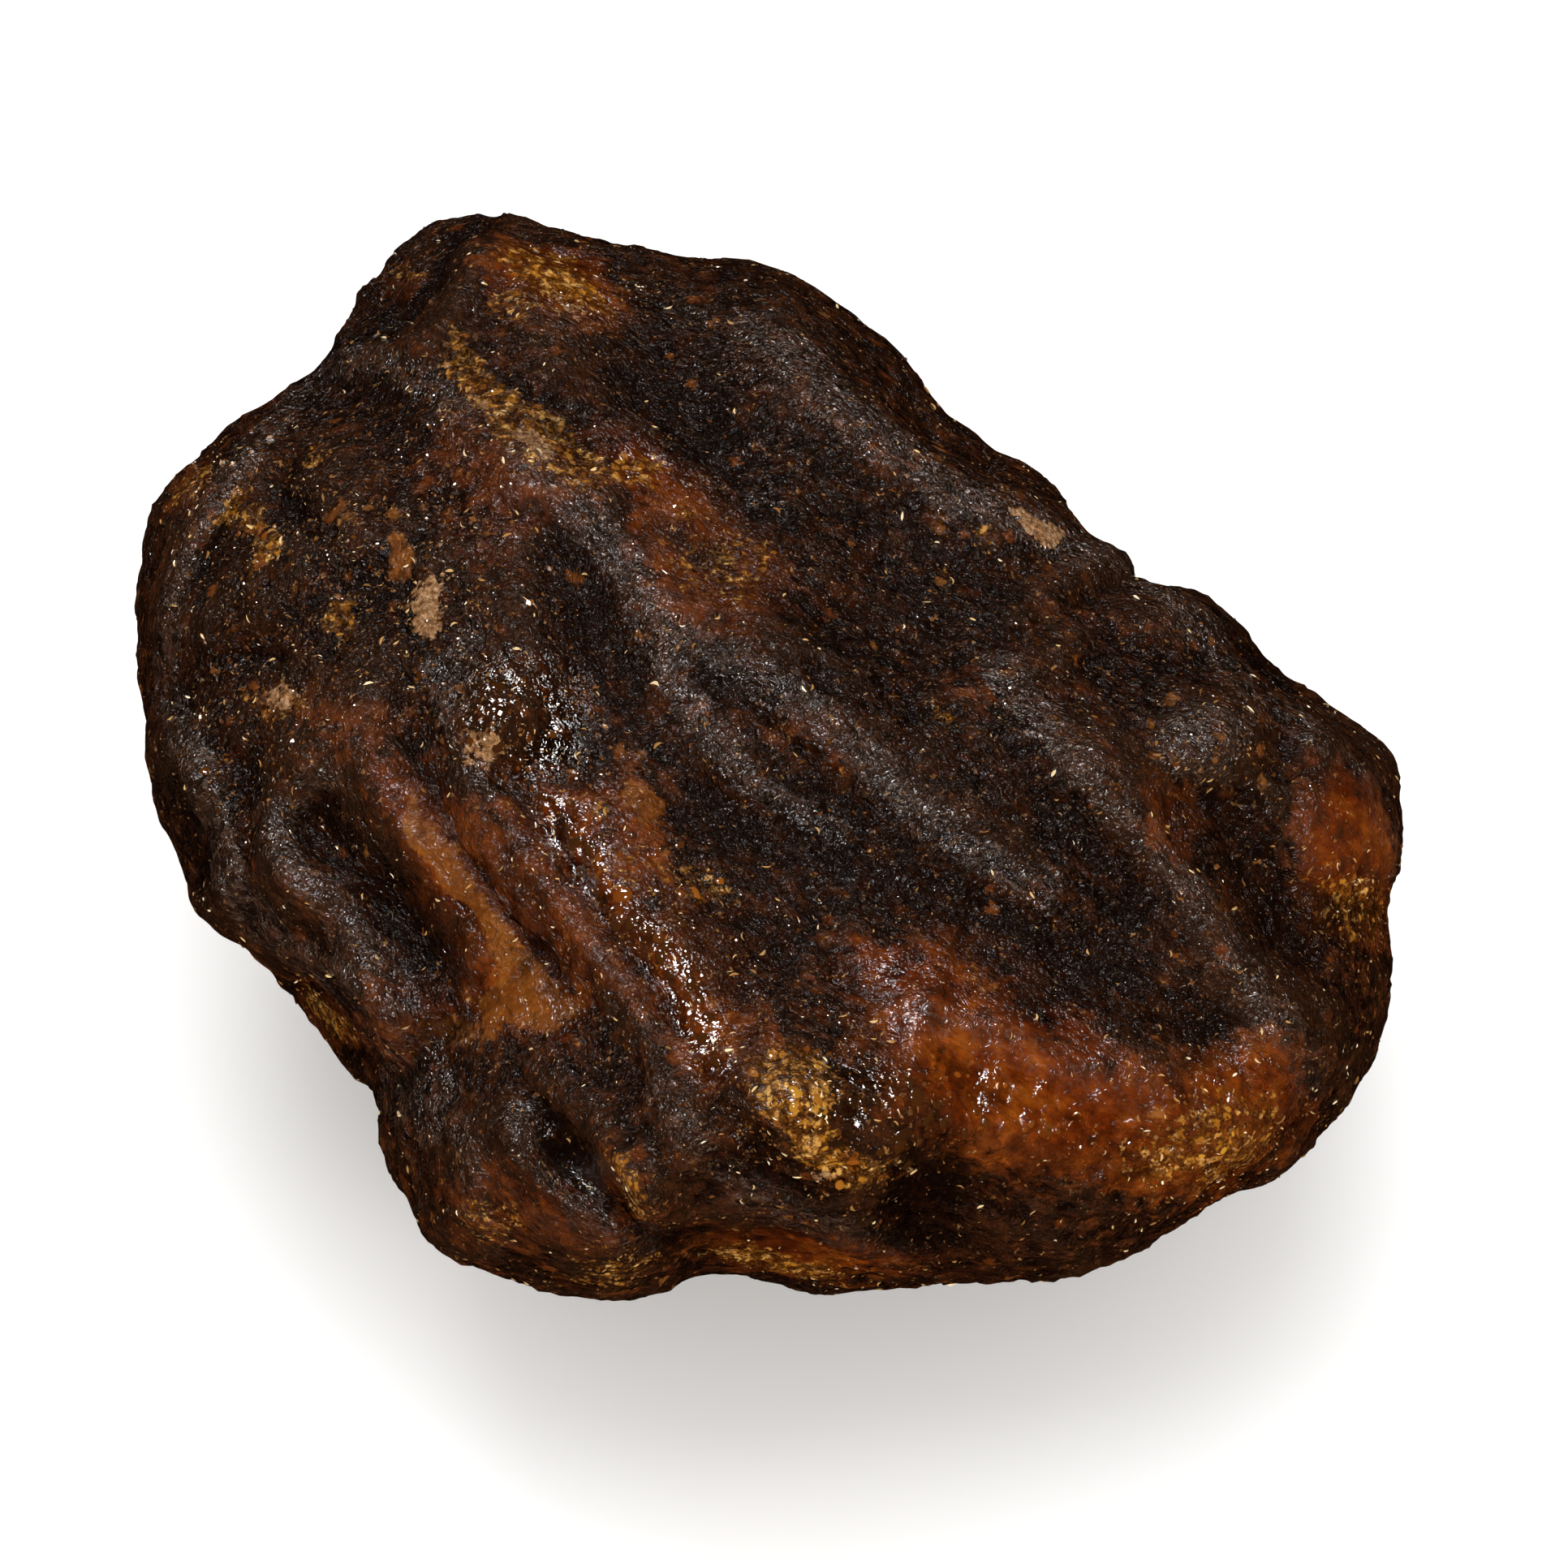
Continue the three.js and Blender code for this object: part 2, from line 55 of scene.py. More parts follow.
RIM = np.array([
    28.9, 26.1, 23.6, 22.7, 21.3, 18.9, 19.2, 18.3, 18.4, 18.5, 18.3, 17.9,
    18.1, 18.3, 19.2, 20.2, 21.1, 22.1, 23.2, 23.7, 24.1, 25.2, 26.6, 28.4,
    30.7, 31.1, 30.6, 29.7, 29, 29.6, 30.7, 31.8, 32.1, 31.3, 30.3, 29.9,
    29.9, 29.5, 28.6, 28.3, 26.2, 25.4, 24.8, 24.5, 23.8, 25.2, 26.3, 27.4,
    27.1, 26.7, 26.3, 25.5, 24, 23.7, 23.8, 24.2, 24.4, 24.9, 25.5, 26.6,
    27.7, 28.3, 28.7, 29.2, 30.1, 30.3, 30.9, 30.9, 30.7, 29.8, 30.1, 29.7,
])

# ridge: name, points, width, height    ledge: name, points, width, height, reach
# bump: name, (u, v), ra, rb, angle, height
FACE_RELIEF = [
    ("ridge", "main crest upper", [(-21, 19.1), (-17.7, 18.3), (-15.7, 16.4), (-13.6, 14), (-12, 10.1), (-11.5, 5.6), (-12.2, 1.9)], 2.8, 1),
    ("ridge", "main crest lower", [(-12.2, 1.5), (-9.6, -2.9), (-6.9, -6.7), (-4, -10.9), (-2, -13.9), (1.5, -16.3), (5.9, -17.2)], 3.36, 2),
    ("ridge", "middle crest", [(-17.7, 18.8), (-15.7, 16.5), (-13.6, 14.6), (-10.2, 13), (-8.4, 11.4), (-7.2, 9.8), (-6.3, 7.6), (-4.1, 5.6), (-1.9, 5.2), (0.4, 3.6), (1.8, 1.8), (4.4, -0.7), (8.1, -3.7), (12.1, -5.7)], 1.87, 0.8),
    ("ridge", "middle crest branch", [(-6.3, 7.1), (-5.6, 3.9), (-4.2, 2.1), (-2.8, 0.3), (0, -2), (3.7, -4)], 1.27, 0.5),
    ("ridge", "back crest", [(-2.1, 20.8), (-0.1, 19.6), (3.1, 16.3), (6.4, 13.4), (9.3, 12.2), (11.2, 11), (13.7, 10), (17.1, 8.6), (18.6, 6.6), (20.6, 4.9), (22.7, 2.6)], 1.94, 1.6),
    ("ridge", "outer back crest", [(-1.2, 22.9), (1.9, 20.5), (4.5, 17.9), (7.5, 16.3), (10.6, 15.1), (13.2, 12.8), (15, 10.9)], 1.34, 0.9),
    ("ridge", "back gutter", [(1, 20.1), (3.5, 17.7), (5.9, 15.7), (8.5, 14.2), (11.1, 12.7), (13.8, 10.8)], 1.12, -1),
    ("ridge", "fold over pocket", [(9, 9.4), (12, 6.8), (14, 5.8), (16.6, 5.3), (18.4, 3.8)], 1.49, 0.3),
    ("bump", "dark pocket", (14.8, 4), 2.99, 1.72, -25, -0.7),
    ("ridge", "long trough", [(-10, 20.3), (-6.1, 16.3), (-1.1, 12.4), (3.7, 9.4), (8.2, 6.7), (12.3, 3.7)], 3.92, -1.5),
    ("bump", "trough head", (-3.4, 13.4), 4.48, 2.43, -20, -0.6),
    ("ridge", "lower trough", [(-7.4, 0), (-2.2, -2.9), (2.9, -5.1), (8, -7.7), (12.5, -9.5), (16.9, -11.8)], 3.17, -0.8),
    ("ridge", "left trough", [(-12, 11.7), (-9.7, 8.6), (-8, 5.2), (-6.3, 1.8)], 1.72, -0.6),
    ("ridge", "upper trough rib", [(-9.9, 17.1), (-6.8, 15.1), (-4.1, 10.9), (0, 8.6), (3.7, 7.1), (7.4, 4.5)], 1.49, 0.5),
    ("ridge", "end crest", [(9.7, 4.1), (12.3, 1.3), (14.6, -0.9), (16.4, -3.4), (18.4, -5.5), (20.2, -8.8), (22.7, -11.4), (24.2, -13.5), (24.8, -15.9)], 1.57, 1.5),
    ("ridge", "end hollow", [(17.8, 0), (19.3, -3), (21.1, -5.9), (23.4, -8.5), (25.7, -10.6)], 2.61, -1.4),
    ("bump", "end lobe", (26.3, -3.8), 3.55, 4.85, 10, 2.6),
    ("bump", "granular swelling", (19.8, 0.6), 2.61, 2.24, -30, 1.5),
    ("ridge", "end shoulder", [(19.3, 4.9), (22.1, 2.5), (24.2, 1.1), (25.6, -1.1)], 1.49, 1.6),
    ("bump", "end notch", (22.8, 0), 1.49, 1.87, 20, -0.9),
    ("ridge", "end hollow rib", [(20, -4.1), (22.3, -7.1), (25, -9.3)], 0.82, 0.5),
    ("ridge", "front lip crest", [(3.7, -9.9), (6.2, -10.9), (8.9, -11.9), (12.2, -13.1), (15.7, -14.5), (18.8, -16.2)], 1.79, 1.5),
    ("bump", "front lobe", (11, -17.2), 10.08, 3.92, -8, 2.2),
    ("bump", "front knuckle", (1.8, -15.9), 3.55, 2.99, -30, 1.5),
    ("bump", "corner knuckle", (21.1, -16.7), 4.48, 3.36, 40, 1.8),
    ("ridge", "lip saddle", [(5.5, -21.7), (7, -19.1), (6.6, -17.2)], 1.49, -0.5),
    ("bump", "wet knuckle", (5.8, -16.3), 1.94, 1.64, 0, 0.9),
    ("ridge", "deep groove", [(-21.2, 0.6), (-21.4, -2), (-20, -4.8), (-18, -6.7), (-15.5, -9.4), (-14, -11.6)], 2.76, -2),
    ("ridge", "groove lip", [(-16.2, 4.4), (-18.6, 3), (-19.2, 1.7), (-18.5, -0.4), (-17.6, -2.9), (-16.2, -5.2), (-14.7, -7.4), (-13.1, -9.2), (-11.8, -11.2)], 1.34, 1.2),
    ("ridge", "second groove", [(-17.1, 3), (-16.9, 0.9), (-15.3, -2), (-13.3, -4.4), (-11, -7.3), (-8.4, -10.6), (-6.2, -13.9)], 1.34, -0.8),
    ("ridge", "long fold", [(-14.9, 2.6), (-14.8, 0.2), (-13.3, -2.6), (-11.4, -5), (-9.5, -7.7), (-7.3, -10.4), (-5.4, -12.8), (-4.5, -15), (-3.3, -17.6), (-1.5, -19.8), (1.1, -21.7)], 1.42, 0.9),
    ("ridge", "third groove", [(-11.4, -1.1), (-9.9, -4.4), (-7.9, -7.3), (-5.8, -10.2), (-4, -13.5), (-2.2, -16.8), (0, -19.1)], 1.34, -0.7),
    ("ridge", "left rim of groove", [(-20.2, 3), (-21.2, 0.6), (-22.7, -1.7), (-23.2, -3.7), (-22.2, -5.7), (-20.4, -7.3), (-19, -9.1), (-18.1, -11.3), (-17.4, -13.6), (-17.8, -16.5)], 1.27, 2),
    ("ridge", "left rib", [(-28.9, 3.4), (-28.5, 1.3), (-26.8, -1.1), (-25.8, -3.3), (-25.5, -5.5), (-24.8, -7.3), (-22.4, -9.4), (-19.5, -10.9), (-18.1, -13.1), (-17.8, -15.6)], 1.12, 1.5),
    ("bump", "left scallop", (-24.1, -7.1), 1.42, 1.12, -40, -1.5),
    ("bump", "left scallop 2", (-23.6, -1.1), 1.49, 2.24, 10, -1),
    ("bump", "left scallop 3", (-27.2, -4.2), 1.34, 2.24, -20, -1.2),
    ("bump", "left shoulder", (-21.2, 11), 6.35, 5.6, 20, 1.5),
    ("ridge", "left shoulder edge", [(-21.8, 18.4), (-23.7, 16.9), (-24.7, 14.2), (-26.4, 12.2), (-28.3, 9.6), (-29, 6.5), (-29.1, 3.4)], 1.27, 1.8),
    ("bump", "shoulder facet", (-26, 14.9), 1.87, 1.12, 45, -1.2),
    ("bump", "left pit", (-22.6, 12), 0.97, 1.64, -5, -1),
    ("bump", "pit by grain", (-19.1, 7.1), 3.55, 2.24, -20, -0.9),
    ("bump", "pit lower", (-23.1, 4.7), 2.24, 1.49, 0, -0.9),
    ("bump", "shiny knob", (-12.8, 1.5), 2.24, 2.17, 0, 1.6),
    ("bump", "bottom lobe", (-10.6, -19.4), 6.35, 4.85, 10, 1.6),
    ("ridge", "bottom sweep", [(-13.2, -14.7), (-12, -17), (-10.6, -19.1), (-8.2, -21.1), (-6.2, -21.8), (-4.1, -22)], 1.42, 1.6),
    ("bump", "bottom hollow", (-9.3, -17.8), 2.32, 1.57, -52, -0.8),
    ("ridge", "bottom fold", [(-14.8, -15.1), (-14.2, -18.4), (-13.7, -21), (-12.3, -23.3)], 0.97, 0.9),
    ("ridge", "bottom orange rib", [(-9.9, -14.6), (-7.9, -17.2), (-6.6, -19.2), (-5.7, -21.1)], 1.05, 1.2),
    ("ridge", "knob front", [(-12.5, 24.5), (-14, 23.8), (-14.8, 22.6), (-15.4, 21), (-17.3, 19.2), (-20.1, 18.4)], 0.97, 1.5),
    ("bump", "top knob", (-17.9, 22.8), 2.17, 1.12, 40, 2.2),
    ("bump", "top orange swell", (-11.2, 22.4), 4.11, 2.05, -20, 1.6),
]
BACK_RELIEF = [
    ("ridge", "far side crest", [(-22, 20), (-12, 17), (0, 12), (10, 6), (20, 0)], 3.4, 2),
    ("ridge", "far side gutter", [(-18, 13), (-8, 10), (3, 5), (13, -1), (22, -6)], 2.8, -2.2),
    ("ridge", "far side rib", [(-25, 10), (-14, 6), (-4, 1), (6, -5), (15, -9)], 3, 1.6),
    ("ridge", "under groove", [(-20, -2), (-10, -5), (0, -9), (9, -15)], 3, -1.8),
    ("ridge", "under rib", [(-24, -6), (-14, -10), (-5, -14), (3, -20)], 2.6, 1.4),
    ("bump", "far swelling", (2, 17), 7, 4.5, -20, 1.6),
    ("bump", "far hollow", (-10, 24), 5, 4, 0, -1.4),
    ("bump", "under swelling", (12, -12), 8, 6, -30, 1.4),
    ("bump", "under hollow", (-8, 2), 6, 4, -30, -1.3),
]
LOBE_STEPS = [
    ("ledge", "front overhang", [(-9.5, -16.2), (-7.3, -18.7), (-5.3, -20.9), (-2.9, -21.2), (0.4, -21.8), (3.7, -23), (7.1, -23.7)], 0.56, 5.5, 9.71),
    ("ledge", "under ledge left", [(-24, -8.7), (-20.3, -10.3), (-18.6, -12.4), (-18.1, -15.2)], 0.52, -5, 7.47),
    ("ledge", "knob step", [(-12.7, 26.5), (-14, 25.3), (-15.5, 23.9), (-16, 22.3), (-17.9, 20.3), (-21.1, 19.4)], 0.34, -4.6, 11.2),
    ("ledge", "back lobe step", [(25.2, 2.4), (23.2, 3), (20.6, 5.3), (18.3, 8.1)], 0.49, -4, 7.47),
]
# Folds, scallops and pits that are too fine for the solid.
FINE_RELIEF = [
    ("ridge", "fold a", [(-14.3, 1.9), (-13.7, -0.7), (-11.8, -3.7), (-9.9, -6.6), (-7.9, -9.5), (-5.8, -12.4)], 0.49, 0.5),
    ("ridge", "fold b", [(-15.4, 0), (-14, -2.6), (-12.1, -5.5), (-9.9, -8.4), (-7.9, -11.3)], 0.45, 0.45),
    ("ridge", "fold c", [(-16.3, -2.6), (-14.8, -4.8), (-12.9, -7.4), (-11, -9.9)], 0.41, 0.4),
    ("ridge", "fold d", [(-12.9, 0.9), (-11.4, -2), (-9.4, -5), (-7.3, -8.1), (-4.9, -11.3), (-3.3, -14.6)], 0.49, -0.45),
    ("ridge", "lip line", [(1.5, -21), (3.3, -22.3), (5.6, -23)], 0.37, 0.5),
    ("ridge", "sweep line", [(-13.2, -15.8), (-11.4, -18.5), (-9, -20.4), (-6.2, -21.3)], 0.37, 0.5),
    ("ridge", "sweep line 2", [(-11.7, -15.4), (-10.3, -17.9), (-8.1, -19.6), (-5.9, -20.5)], 0.34, -0.4),
    ("ridge", "middle fine", [(-15.2, 15.6), (-12.1, 13), (-9, 10.5), (-7.1, 7.4), (-4.8, 4.8), (-2.2, 3)], 0.52, 0.4),
    ("ridge", "middle fine 2", [(-10.1, 12.4), (-7.5, 9), (-6.3, 6.3), (-3.7, 3.7), (-0.4, 1.1), (2.6, -1.8)], 0.45, -0.4),
    ("ridge", "back fine", [(1.5, 18.8), (4.6, 15.7), (7.3, 13.8), (10.3, 12.2), (13.8, 10.6)], 0.41, 0.45),
    ("ridge", "left rib fine", [(-28.3, 1.1), (-26.6, -2.1), (-26, -4.9), (-25.2, -7.1)], 0.34, 0.45),
    ("ridge", "left rib fine 2", [(-27.6, -1.1), (-26.3, -3.8), (-25.4, -6), (-23.7, -8.3), (-20.9, -10.1)], 0.34, -0.45),
    ("ridge", "shoulder line", [(-23.8, 15.9), (-25.3, 12.6), (-26.9, 10.3), (-28.1, 7.3), (-28.4, 4.2)], 0.37, 0.45),
    ("ridge", "shoulder line 2", [(-22.4, 16.6), (-24.3, 13.2), (-25.9, 10.7), (-27, 7.6)], 0.34, -0.4),
    ("bump", "pit a", (-22.6, 12), 0.82, 1.49, -5, -0.8),
    ("bump", "pit b", (-23.4, 4.1), 1.72, 1.05, 0, -0.7),
    ("bump", "pit c", (-18.7, 6.9), 2.24, 1.49, -20, -0.6),
    ("bump", "bead a", (-12.9, 0.9), 0.82, 0.75, 0, 0.7),
    ("bump", "bead b", (-11.8, 1.9), 0.6, 0.6, 0, 0.4),
    ("bump", "hollow a", (-9.1, -18.1), 1.42, 0.9, 52, -0.9),
    ("bump", "scallop a", (-24.4, -7.5), 0.97, 0.67, 45, -0.8),
    ("bump", "scallop b", (-22.9, -8.8), 0.67, 0.45, 40, -0.6),
    ("bump", "scallop c", (-27, -4.5), 0.9, 1.49, 20, -0.6),
    ("bump", "pocket a", (14.8, 3.9), 1.79, 0.97, 25, -0.8),
    ("bump", "knuckle pit", (2.9, -18.7), 0.67, 0.52, 0, -0.5),
    ("bump", "spot rise", (6.6, -20.6), 1.87, 1.05, 0, -0.35),
    ("bump", "gold rise", (0.7, -14.8), 1.87, 1.57, 0, 0.35),
    ("bump", "big grain", (-6.2, -2), 0.97, 0.67, 30, 0.4),
    ("bump", "end grain", (19.5, 0.4), 1.87, 1.57, 0, 0.35),
]
FEET = [
    (-11, -9, 6, 1.2),
    (12, -6, 7, 2),
    (-3, 14, 10, 5.6),
]
STANDING_DEPTH = 0.9


def smooth(t):
    k = np.clip(t, 0, 1)
    return k * k * (3 - 2 * k)


def rim_reach(theta):
    n = len(RIM)
    a = (theta / (2 * math.pi) * n) % n
    i = np.floor(a).astype(int)
    t = a - i
    p0, p1, p2, p3 = (RIM[(i + k) % n] for k in (-1, 0, 1, 2))
    return p1 + 0.5 * t * (p2 - p0 + t * (2 * p0 - 5 * p1 + 4 * p2 - p3 + t * (3 * (p1 - p2) + p3 - p0)))


def rounded(points):
    """Centripetal Catmull-Rom through the points, four short pieces to each span."""
    p = np.array(points, float)
    n = len(p)
    if n < 3:
        return p
    out = []
    for k in range((n - 1) * 4 + 1):
        x = (n - 1) * k / ((n - 1) * 4)
        i = min(int(math.floor(x)), n - 1)
        w = x - i
        if w == 0 and i == n - 1:
            i, w = n - 2, 1.0
        p0 = p[i - 1] if i > 0 else 2 * p[0] - p[1]
        p1, p2 = p[i], p[(i + 1)]
        p3 = p[i + 2] if i + 2 < n else 2 * p[n - 1] - p[n - 2]
        d0, d1, d2 = (max(float(((b - a) ** 2).sum()) ** 0.25, 1e-4) for a, b in ((p0, p1), (p1, p2), (p2, p3)))
        t1 = ((p1 - p0) / d0 - (p2 - p0) / (d0 + d1) + (p2 - p1) / d1) * d1
        t2 = ((p2 - p1) / d1 - (p3 - p1) / (d1 + d2) + (p3 - p2) / d2) * d1
        c2 = -3 * p1 + 3 * p2 - 2 * t1 - t2
        c3 = 2 * p1 - 2 * p2 + t1 + t2
        out.append(p1 + t1 * w + c2 * w * w + c3 * w**3)
    return np.array(out)


def nearest(line, u, v):
    best = np.full(u.shape, np.inf)
    place = np.zeros(u.shape)
    side = np.ones(u.shape)
    past = np.zeros(u.shape)
    n = len(line) - 1
    for i in range(n):
        (au, av), (bu, bv) = line[i], line[i + 1]
        du, dv = bu - au, bv - av
        len2 = du * du + dv * dv or 1e-9
        raw = ((u - au) * du + (v - av) * dv) / len2
        t = np.clip(raw, 0, 1)
        d2 = (u - (au + du * t)) ** 2 + (v - (av + dv * t)) ** 2
        new = d2 < best
        over = np.zeros(u.shape)
        if i == 0:
            over = np.where(raw < 0, -raw, over)
        if i == n - 1:
            over = np.where(raw > 1, raw - 1, over)
        best = np.where(new, d2, best)
        place = np.where(new, (i + t) / n, place)
        side = np.where(new, np.where(du * (v - av) - dv * (u - au) < 0, -1.0, 1.0), side)
        past = np.where(new, over * math.sqrt(len2), past)
    return np.sqrt(best), place, side, past


def relief(features, u, v):
    total = np.zeros(u.shape)
    for f in features:
        if f[0] == "bump":
            _, _, at, ra, rb, angle, height = f
            c, s = math.cos(math.radians(angle)), math.sin(math.radians(angle))
            a = ((u - at[0]) * c + (v - at[1]) * s) / ra
            b = (-(u - at[0]) * s + (v - at[1]) * c) / rb
            total += height * np.exp(-(a * a + b * b))
            continue
        line = rounded(f[2])
        width, height = f[3], f[4]
        room = 3.2 * width if f[0] == "ridge" else 3.2 * f[5]
        near = (
            (u > line[:, 0].min() - room) & (u < line[:, 0].max() + room)
            & (v > line[:, 1].min() - room) & (v < line[:, 1].max() + room)
        )
        if not near.any():
            continue
        d, t, side, past = nearest(line, u[near], v[near])
        ends = smooth(t / 0.25) * smooth((1 - t) / 0.25)
        if f[0] == "ridge":
            add = height * (0.08 + 0.92 * ends) * np.exp(-((d / width) ** 2)) * np.exp(-((past / width) ** 2))
        else:
            d = d * side * math.copysign(1, height)
            k = np.maximum(d, 0) / f[5]
            gate = np.exp(-((past / (0.4 * f[5])) ** 2)) * (0.15 + 0.85 * ends)
            add = height * smooth(d / (2 * width) + 0.5) * np.exp(-k * k) * gate
        total[near] += add
    return total


# ---- smooth gradient noise, about -1 to 1
M32 = np.uint64(0xFFFFFFFF)


def _hash(i, j, k, seed):
    h = (i * 374761393 + j * 668265263 + k * 2147483647 + seed * 1274126177).astype(np.int64)
    h = h.view(np.uint64) & M32
    h = ((h ^ (h >> np.uint64(13))) * np.uint64(1274126177)) & M32
    h = ((h ^ (h >> np.uint64(16))) * np.uint64(2246822519)) & M32
    return h ^ (h >> np.uint64(15))


def _slope(h, x, y, z):
    a = (h & np.uint64(1023)).astype(float) / 1024 * 2 * math.pi
    c = ((h >> np.uint64(10)) & np.uint64(1023)).astype(float) / 511.5 - 1
    s = np.sqrt(np.maximum(0, 1 - c * c))
    return x * s * np.cos(a) + y * s * np.sin(a) + z * c


def noise(p, seed):
    f = np.floor(p)
    i, j, k = (f[:, n].astype(np.int64) for n in range(3))
    x, y, z = (p - f).T
    a, b, c = (t**3 * (t * (t * 6 - 15) + 10) for t in (x, y, z))

    def g(di, dj, dk):
        return _slope(_hash(i + di, j + dj, k + dk, seed), x - di, y - dj, z - dk)

    def mix(p, q, t):
        return p + (q - p) * t

    return 1.6 * mix(
        mix(mix(g(0, 0, 0), g(1, 0, 0), a), mix(g(0, 1, 0), g(1, 1, 0), a), b),
        mix(mix(g(0, 0, 1), g(1, 0, 1), a), mix(g(0, 1, 1), g(1, 1, 1), a), b),
        c,
    )


def fractal(p, wave, seed, octaves=3, gain=0.5):
    total, amp, norm = 0, 1.0, 0.0
    for o in range(octaves):
        total = total + amp * noise(p / wave * 2.03**o + 7.3 * o, seed + 17 * o)
        norm += amp
        amp *= gain
    return total / norm


FLOW = np.array([0.74, -0.6, 0.3])
FLOW /= np.linalg.norm(FLOW)
FLOW_STRETCH = 2.2
WANDER = [(13, 0.9, 3), (6.5, 0.5, 11), (3.4, 0.22, 29)]


def wander(p):
    q = p - np.outer(p @ FLOW * (1 - 1 / FLOW_STRETCH), FLOW)
    return sum(h * noise(q / w, s) for w, h, s in WANDER)


SIN, COS = math.sin(FACE_LEAN), math.cos(FACE_LEAN)
FACE_TO_PART = np.array([[1, 0, 0], [0, SIN, -COS], [0, COS, SIN]])


def to_part(p):
    return p @ FACE_TO_PART.T


def to_face(p):
    return p @ FACE_TO_PART


def normals_of(p, tris):
    a, b, c = p[tris[:, 0]], p[tris[:, 1]], p[tris[:, 2]]
    fn = np.cross(b - a, c - a)
    out = np.zeros_like(p)
    for k in range(3):
        for n in range(3):
            out[:, k] += np.bincount(tris[:, n], fn[:, k], len(p))
    return out / np.maximum(np.linalg.norm(out, axis=1, keepdims=True), 1e-12)


def body_points(d):
    s = np.hypot(d[:, 0], d[:, 1])
    theta = np.arctan2(d[:, 1], d[:, 0])
    rho = s ** (2 / DOME_POWER)
    reach = rim_reach(theta) * rho
    u, v = reach * np.cos(theta), reach * np.sin(theta)
    dome = np.abs(d[:, 2]) ** (2 / DOME_POWER)
    inner = 1 - smooth((rho - 0.9) / 0.1)
    face = relief(FACE_RELIEF, u, v)
    fine = relief(FINE_RELIEF, u, v)
    back = relief(BACK_RELIEF, u, v)
    rim_w = RIM_SLOPE * v + relief(LOBE_STEPS, u, v)
    front = rim_w + FACE_DOME * dome + (face + fine) * inner
    carried = face * smooth((rho - 0.72) / 0.2) * 0.6
    behind = rim_w - BACK_DOME * dome - (carried + back) * inner
    return np.stack([u, v, np.where(d[:, 2] >= 0, front, behind)], axis=1), rho


# features that run across the flow and don't turn the fibres
CROSSWISE = ("lip saddle", "bottom fold", "end hollow rib")


# ---- fibre coordinates: across and along the lines in which the resin flowed
GRID_STEP = 0.5
GRID_HALF = 36.0


def fibre_grid(features, lead):
    """Two potentials on a grid over u and v: one climbs across the flow, one along it."""
    n = int(2 * GRID_HALF / GRID_STEP)
    axis = (np.arange(n) + 0.5) * GRID_STEP - GRID_HALF
    gu, gv = np.meshgrid(axis, axis, indexing="ij")
    tu = np.full(gu.shape, lead[0]) * 0.35
    tv = np.full(gu.shape, lead[1]) * 0.35
    for f in features:
        if f[0] == "bump" or f[1] in CROSSWISE:
            continue
        line = rounded(f[2])
        for (au, av), (bu, bv) in zip(line[:-1], line[1:]):
            du, dv = bu - au, bv - av
            length = math.hypot(du, dv)
            if du * lead[0] + dv * lead[1] < 0:
                du, dv = -du, -dv
            mu, mv = (au + bu) / 2, (av + bv) / 2
            g = np.exp(-((gu - mu) ** 2 + (gv - mv) ** 2) / 9.0)
            tu += g * du
            tv += g * dv
    m = np.hypot(tu, tv)
    tu, tv = tu / m, tv / m

    def potential(pu, pv):
        # least squares: the gradient of the result is as near (pu, pv) as it can be
        ext = lambda a: np.concatenate([np.concatenate([a, a[::-1]], 0), np.concatenate([a, a[::-1]], 0)[:, ::-1]], 1)
        div = np.zeros_like(pu)
        div[1:] += (pu[1:] + pu[:-1]) / 2
        div[:-1] -= (pu[1:] + pu[:-1]) / 2
        div[:, 1:] += (pv[:, 1:] + pv[:, :-1]) / 2
        div[:, :-1] -= (pv[:, 1:] + pv[:, :-1]) / 2
        F = np.fft.fft2(ext(-div * GRID_STEP))
        k = np.fft.fftfreq(2 * n) * 2 * math.pi
        lam = 2 * np.cos(k)[:, None] + 2 * np.cos(k)[None] - 4
        lam[0, 0] = 1
        F = F / lam
        F[0, 0] = 0
        return np.real(np.fft.ifft2(F))[:n, :n]

    return potential(-tv, tu), potential(tu, tv), tu, tv


def sample(grid, u, v):
    n = grid.shape[0]
    x = np.clip((u + GRID_HALF) / GRID_STEP - 0.5, 0, n - 1.001)
    y = np.clip((v + GRID_HALF) / GRID_STEP - 0.5, 0, n - 1.001)
    i, j = x.astype(int), y.astype(int)
    a, b = x - i, y - j
    return (
        grid[i, j] * (1 - a) * (1 - b) + grid[i + 1, j] * a * (1 - b)
        + grid[i, j + 1] * (1 - a) * b + grid[i + 1, j + 1] * a * b
    )


# ------------------------------------------------------------------ build the fine body
bm = bmesh.new()
bmesh.ops.create_icosphere(bm, subdivisions=8, radius=1.0)
sphere = bpy.data.meshes.new("sphere")
bm.to_mesh(sphere)
bm.free()
nv = len(sphere.vertices)
dirs = np.empty(nv * 3)
sphere.vertices.foreach_get("co", dirs)
dirs = dirs.reshape(-1, 3)
dirs /= np.linalg.norm(dirs, axis=1, keepdims=True)
tris = np.empty(len(sphere.polygons) * 3, int)
sphere.loops.foreach_get("vertex_index", tris)
tris = tris.reshape(-1, 3)

face_pts, rho = body_points(dirs)
front = dirs[:, 2] >= 0
P = to_part(face_pts)
P = P + normals_of(P, tris) * wander(P)[:, None]

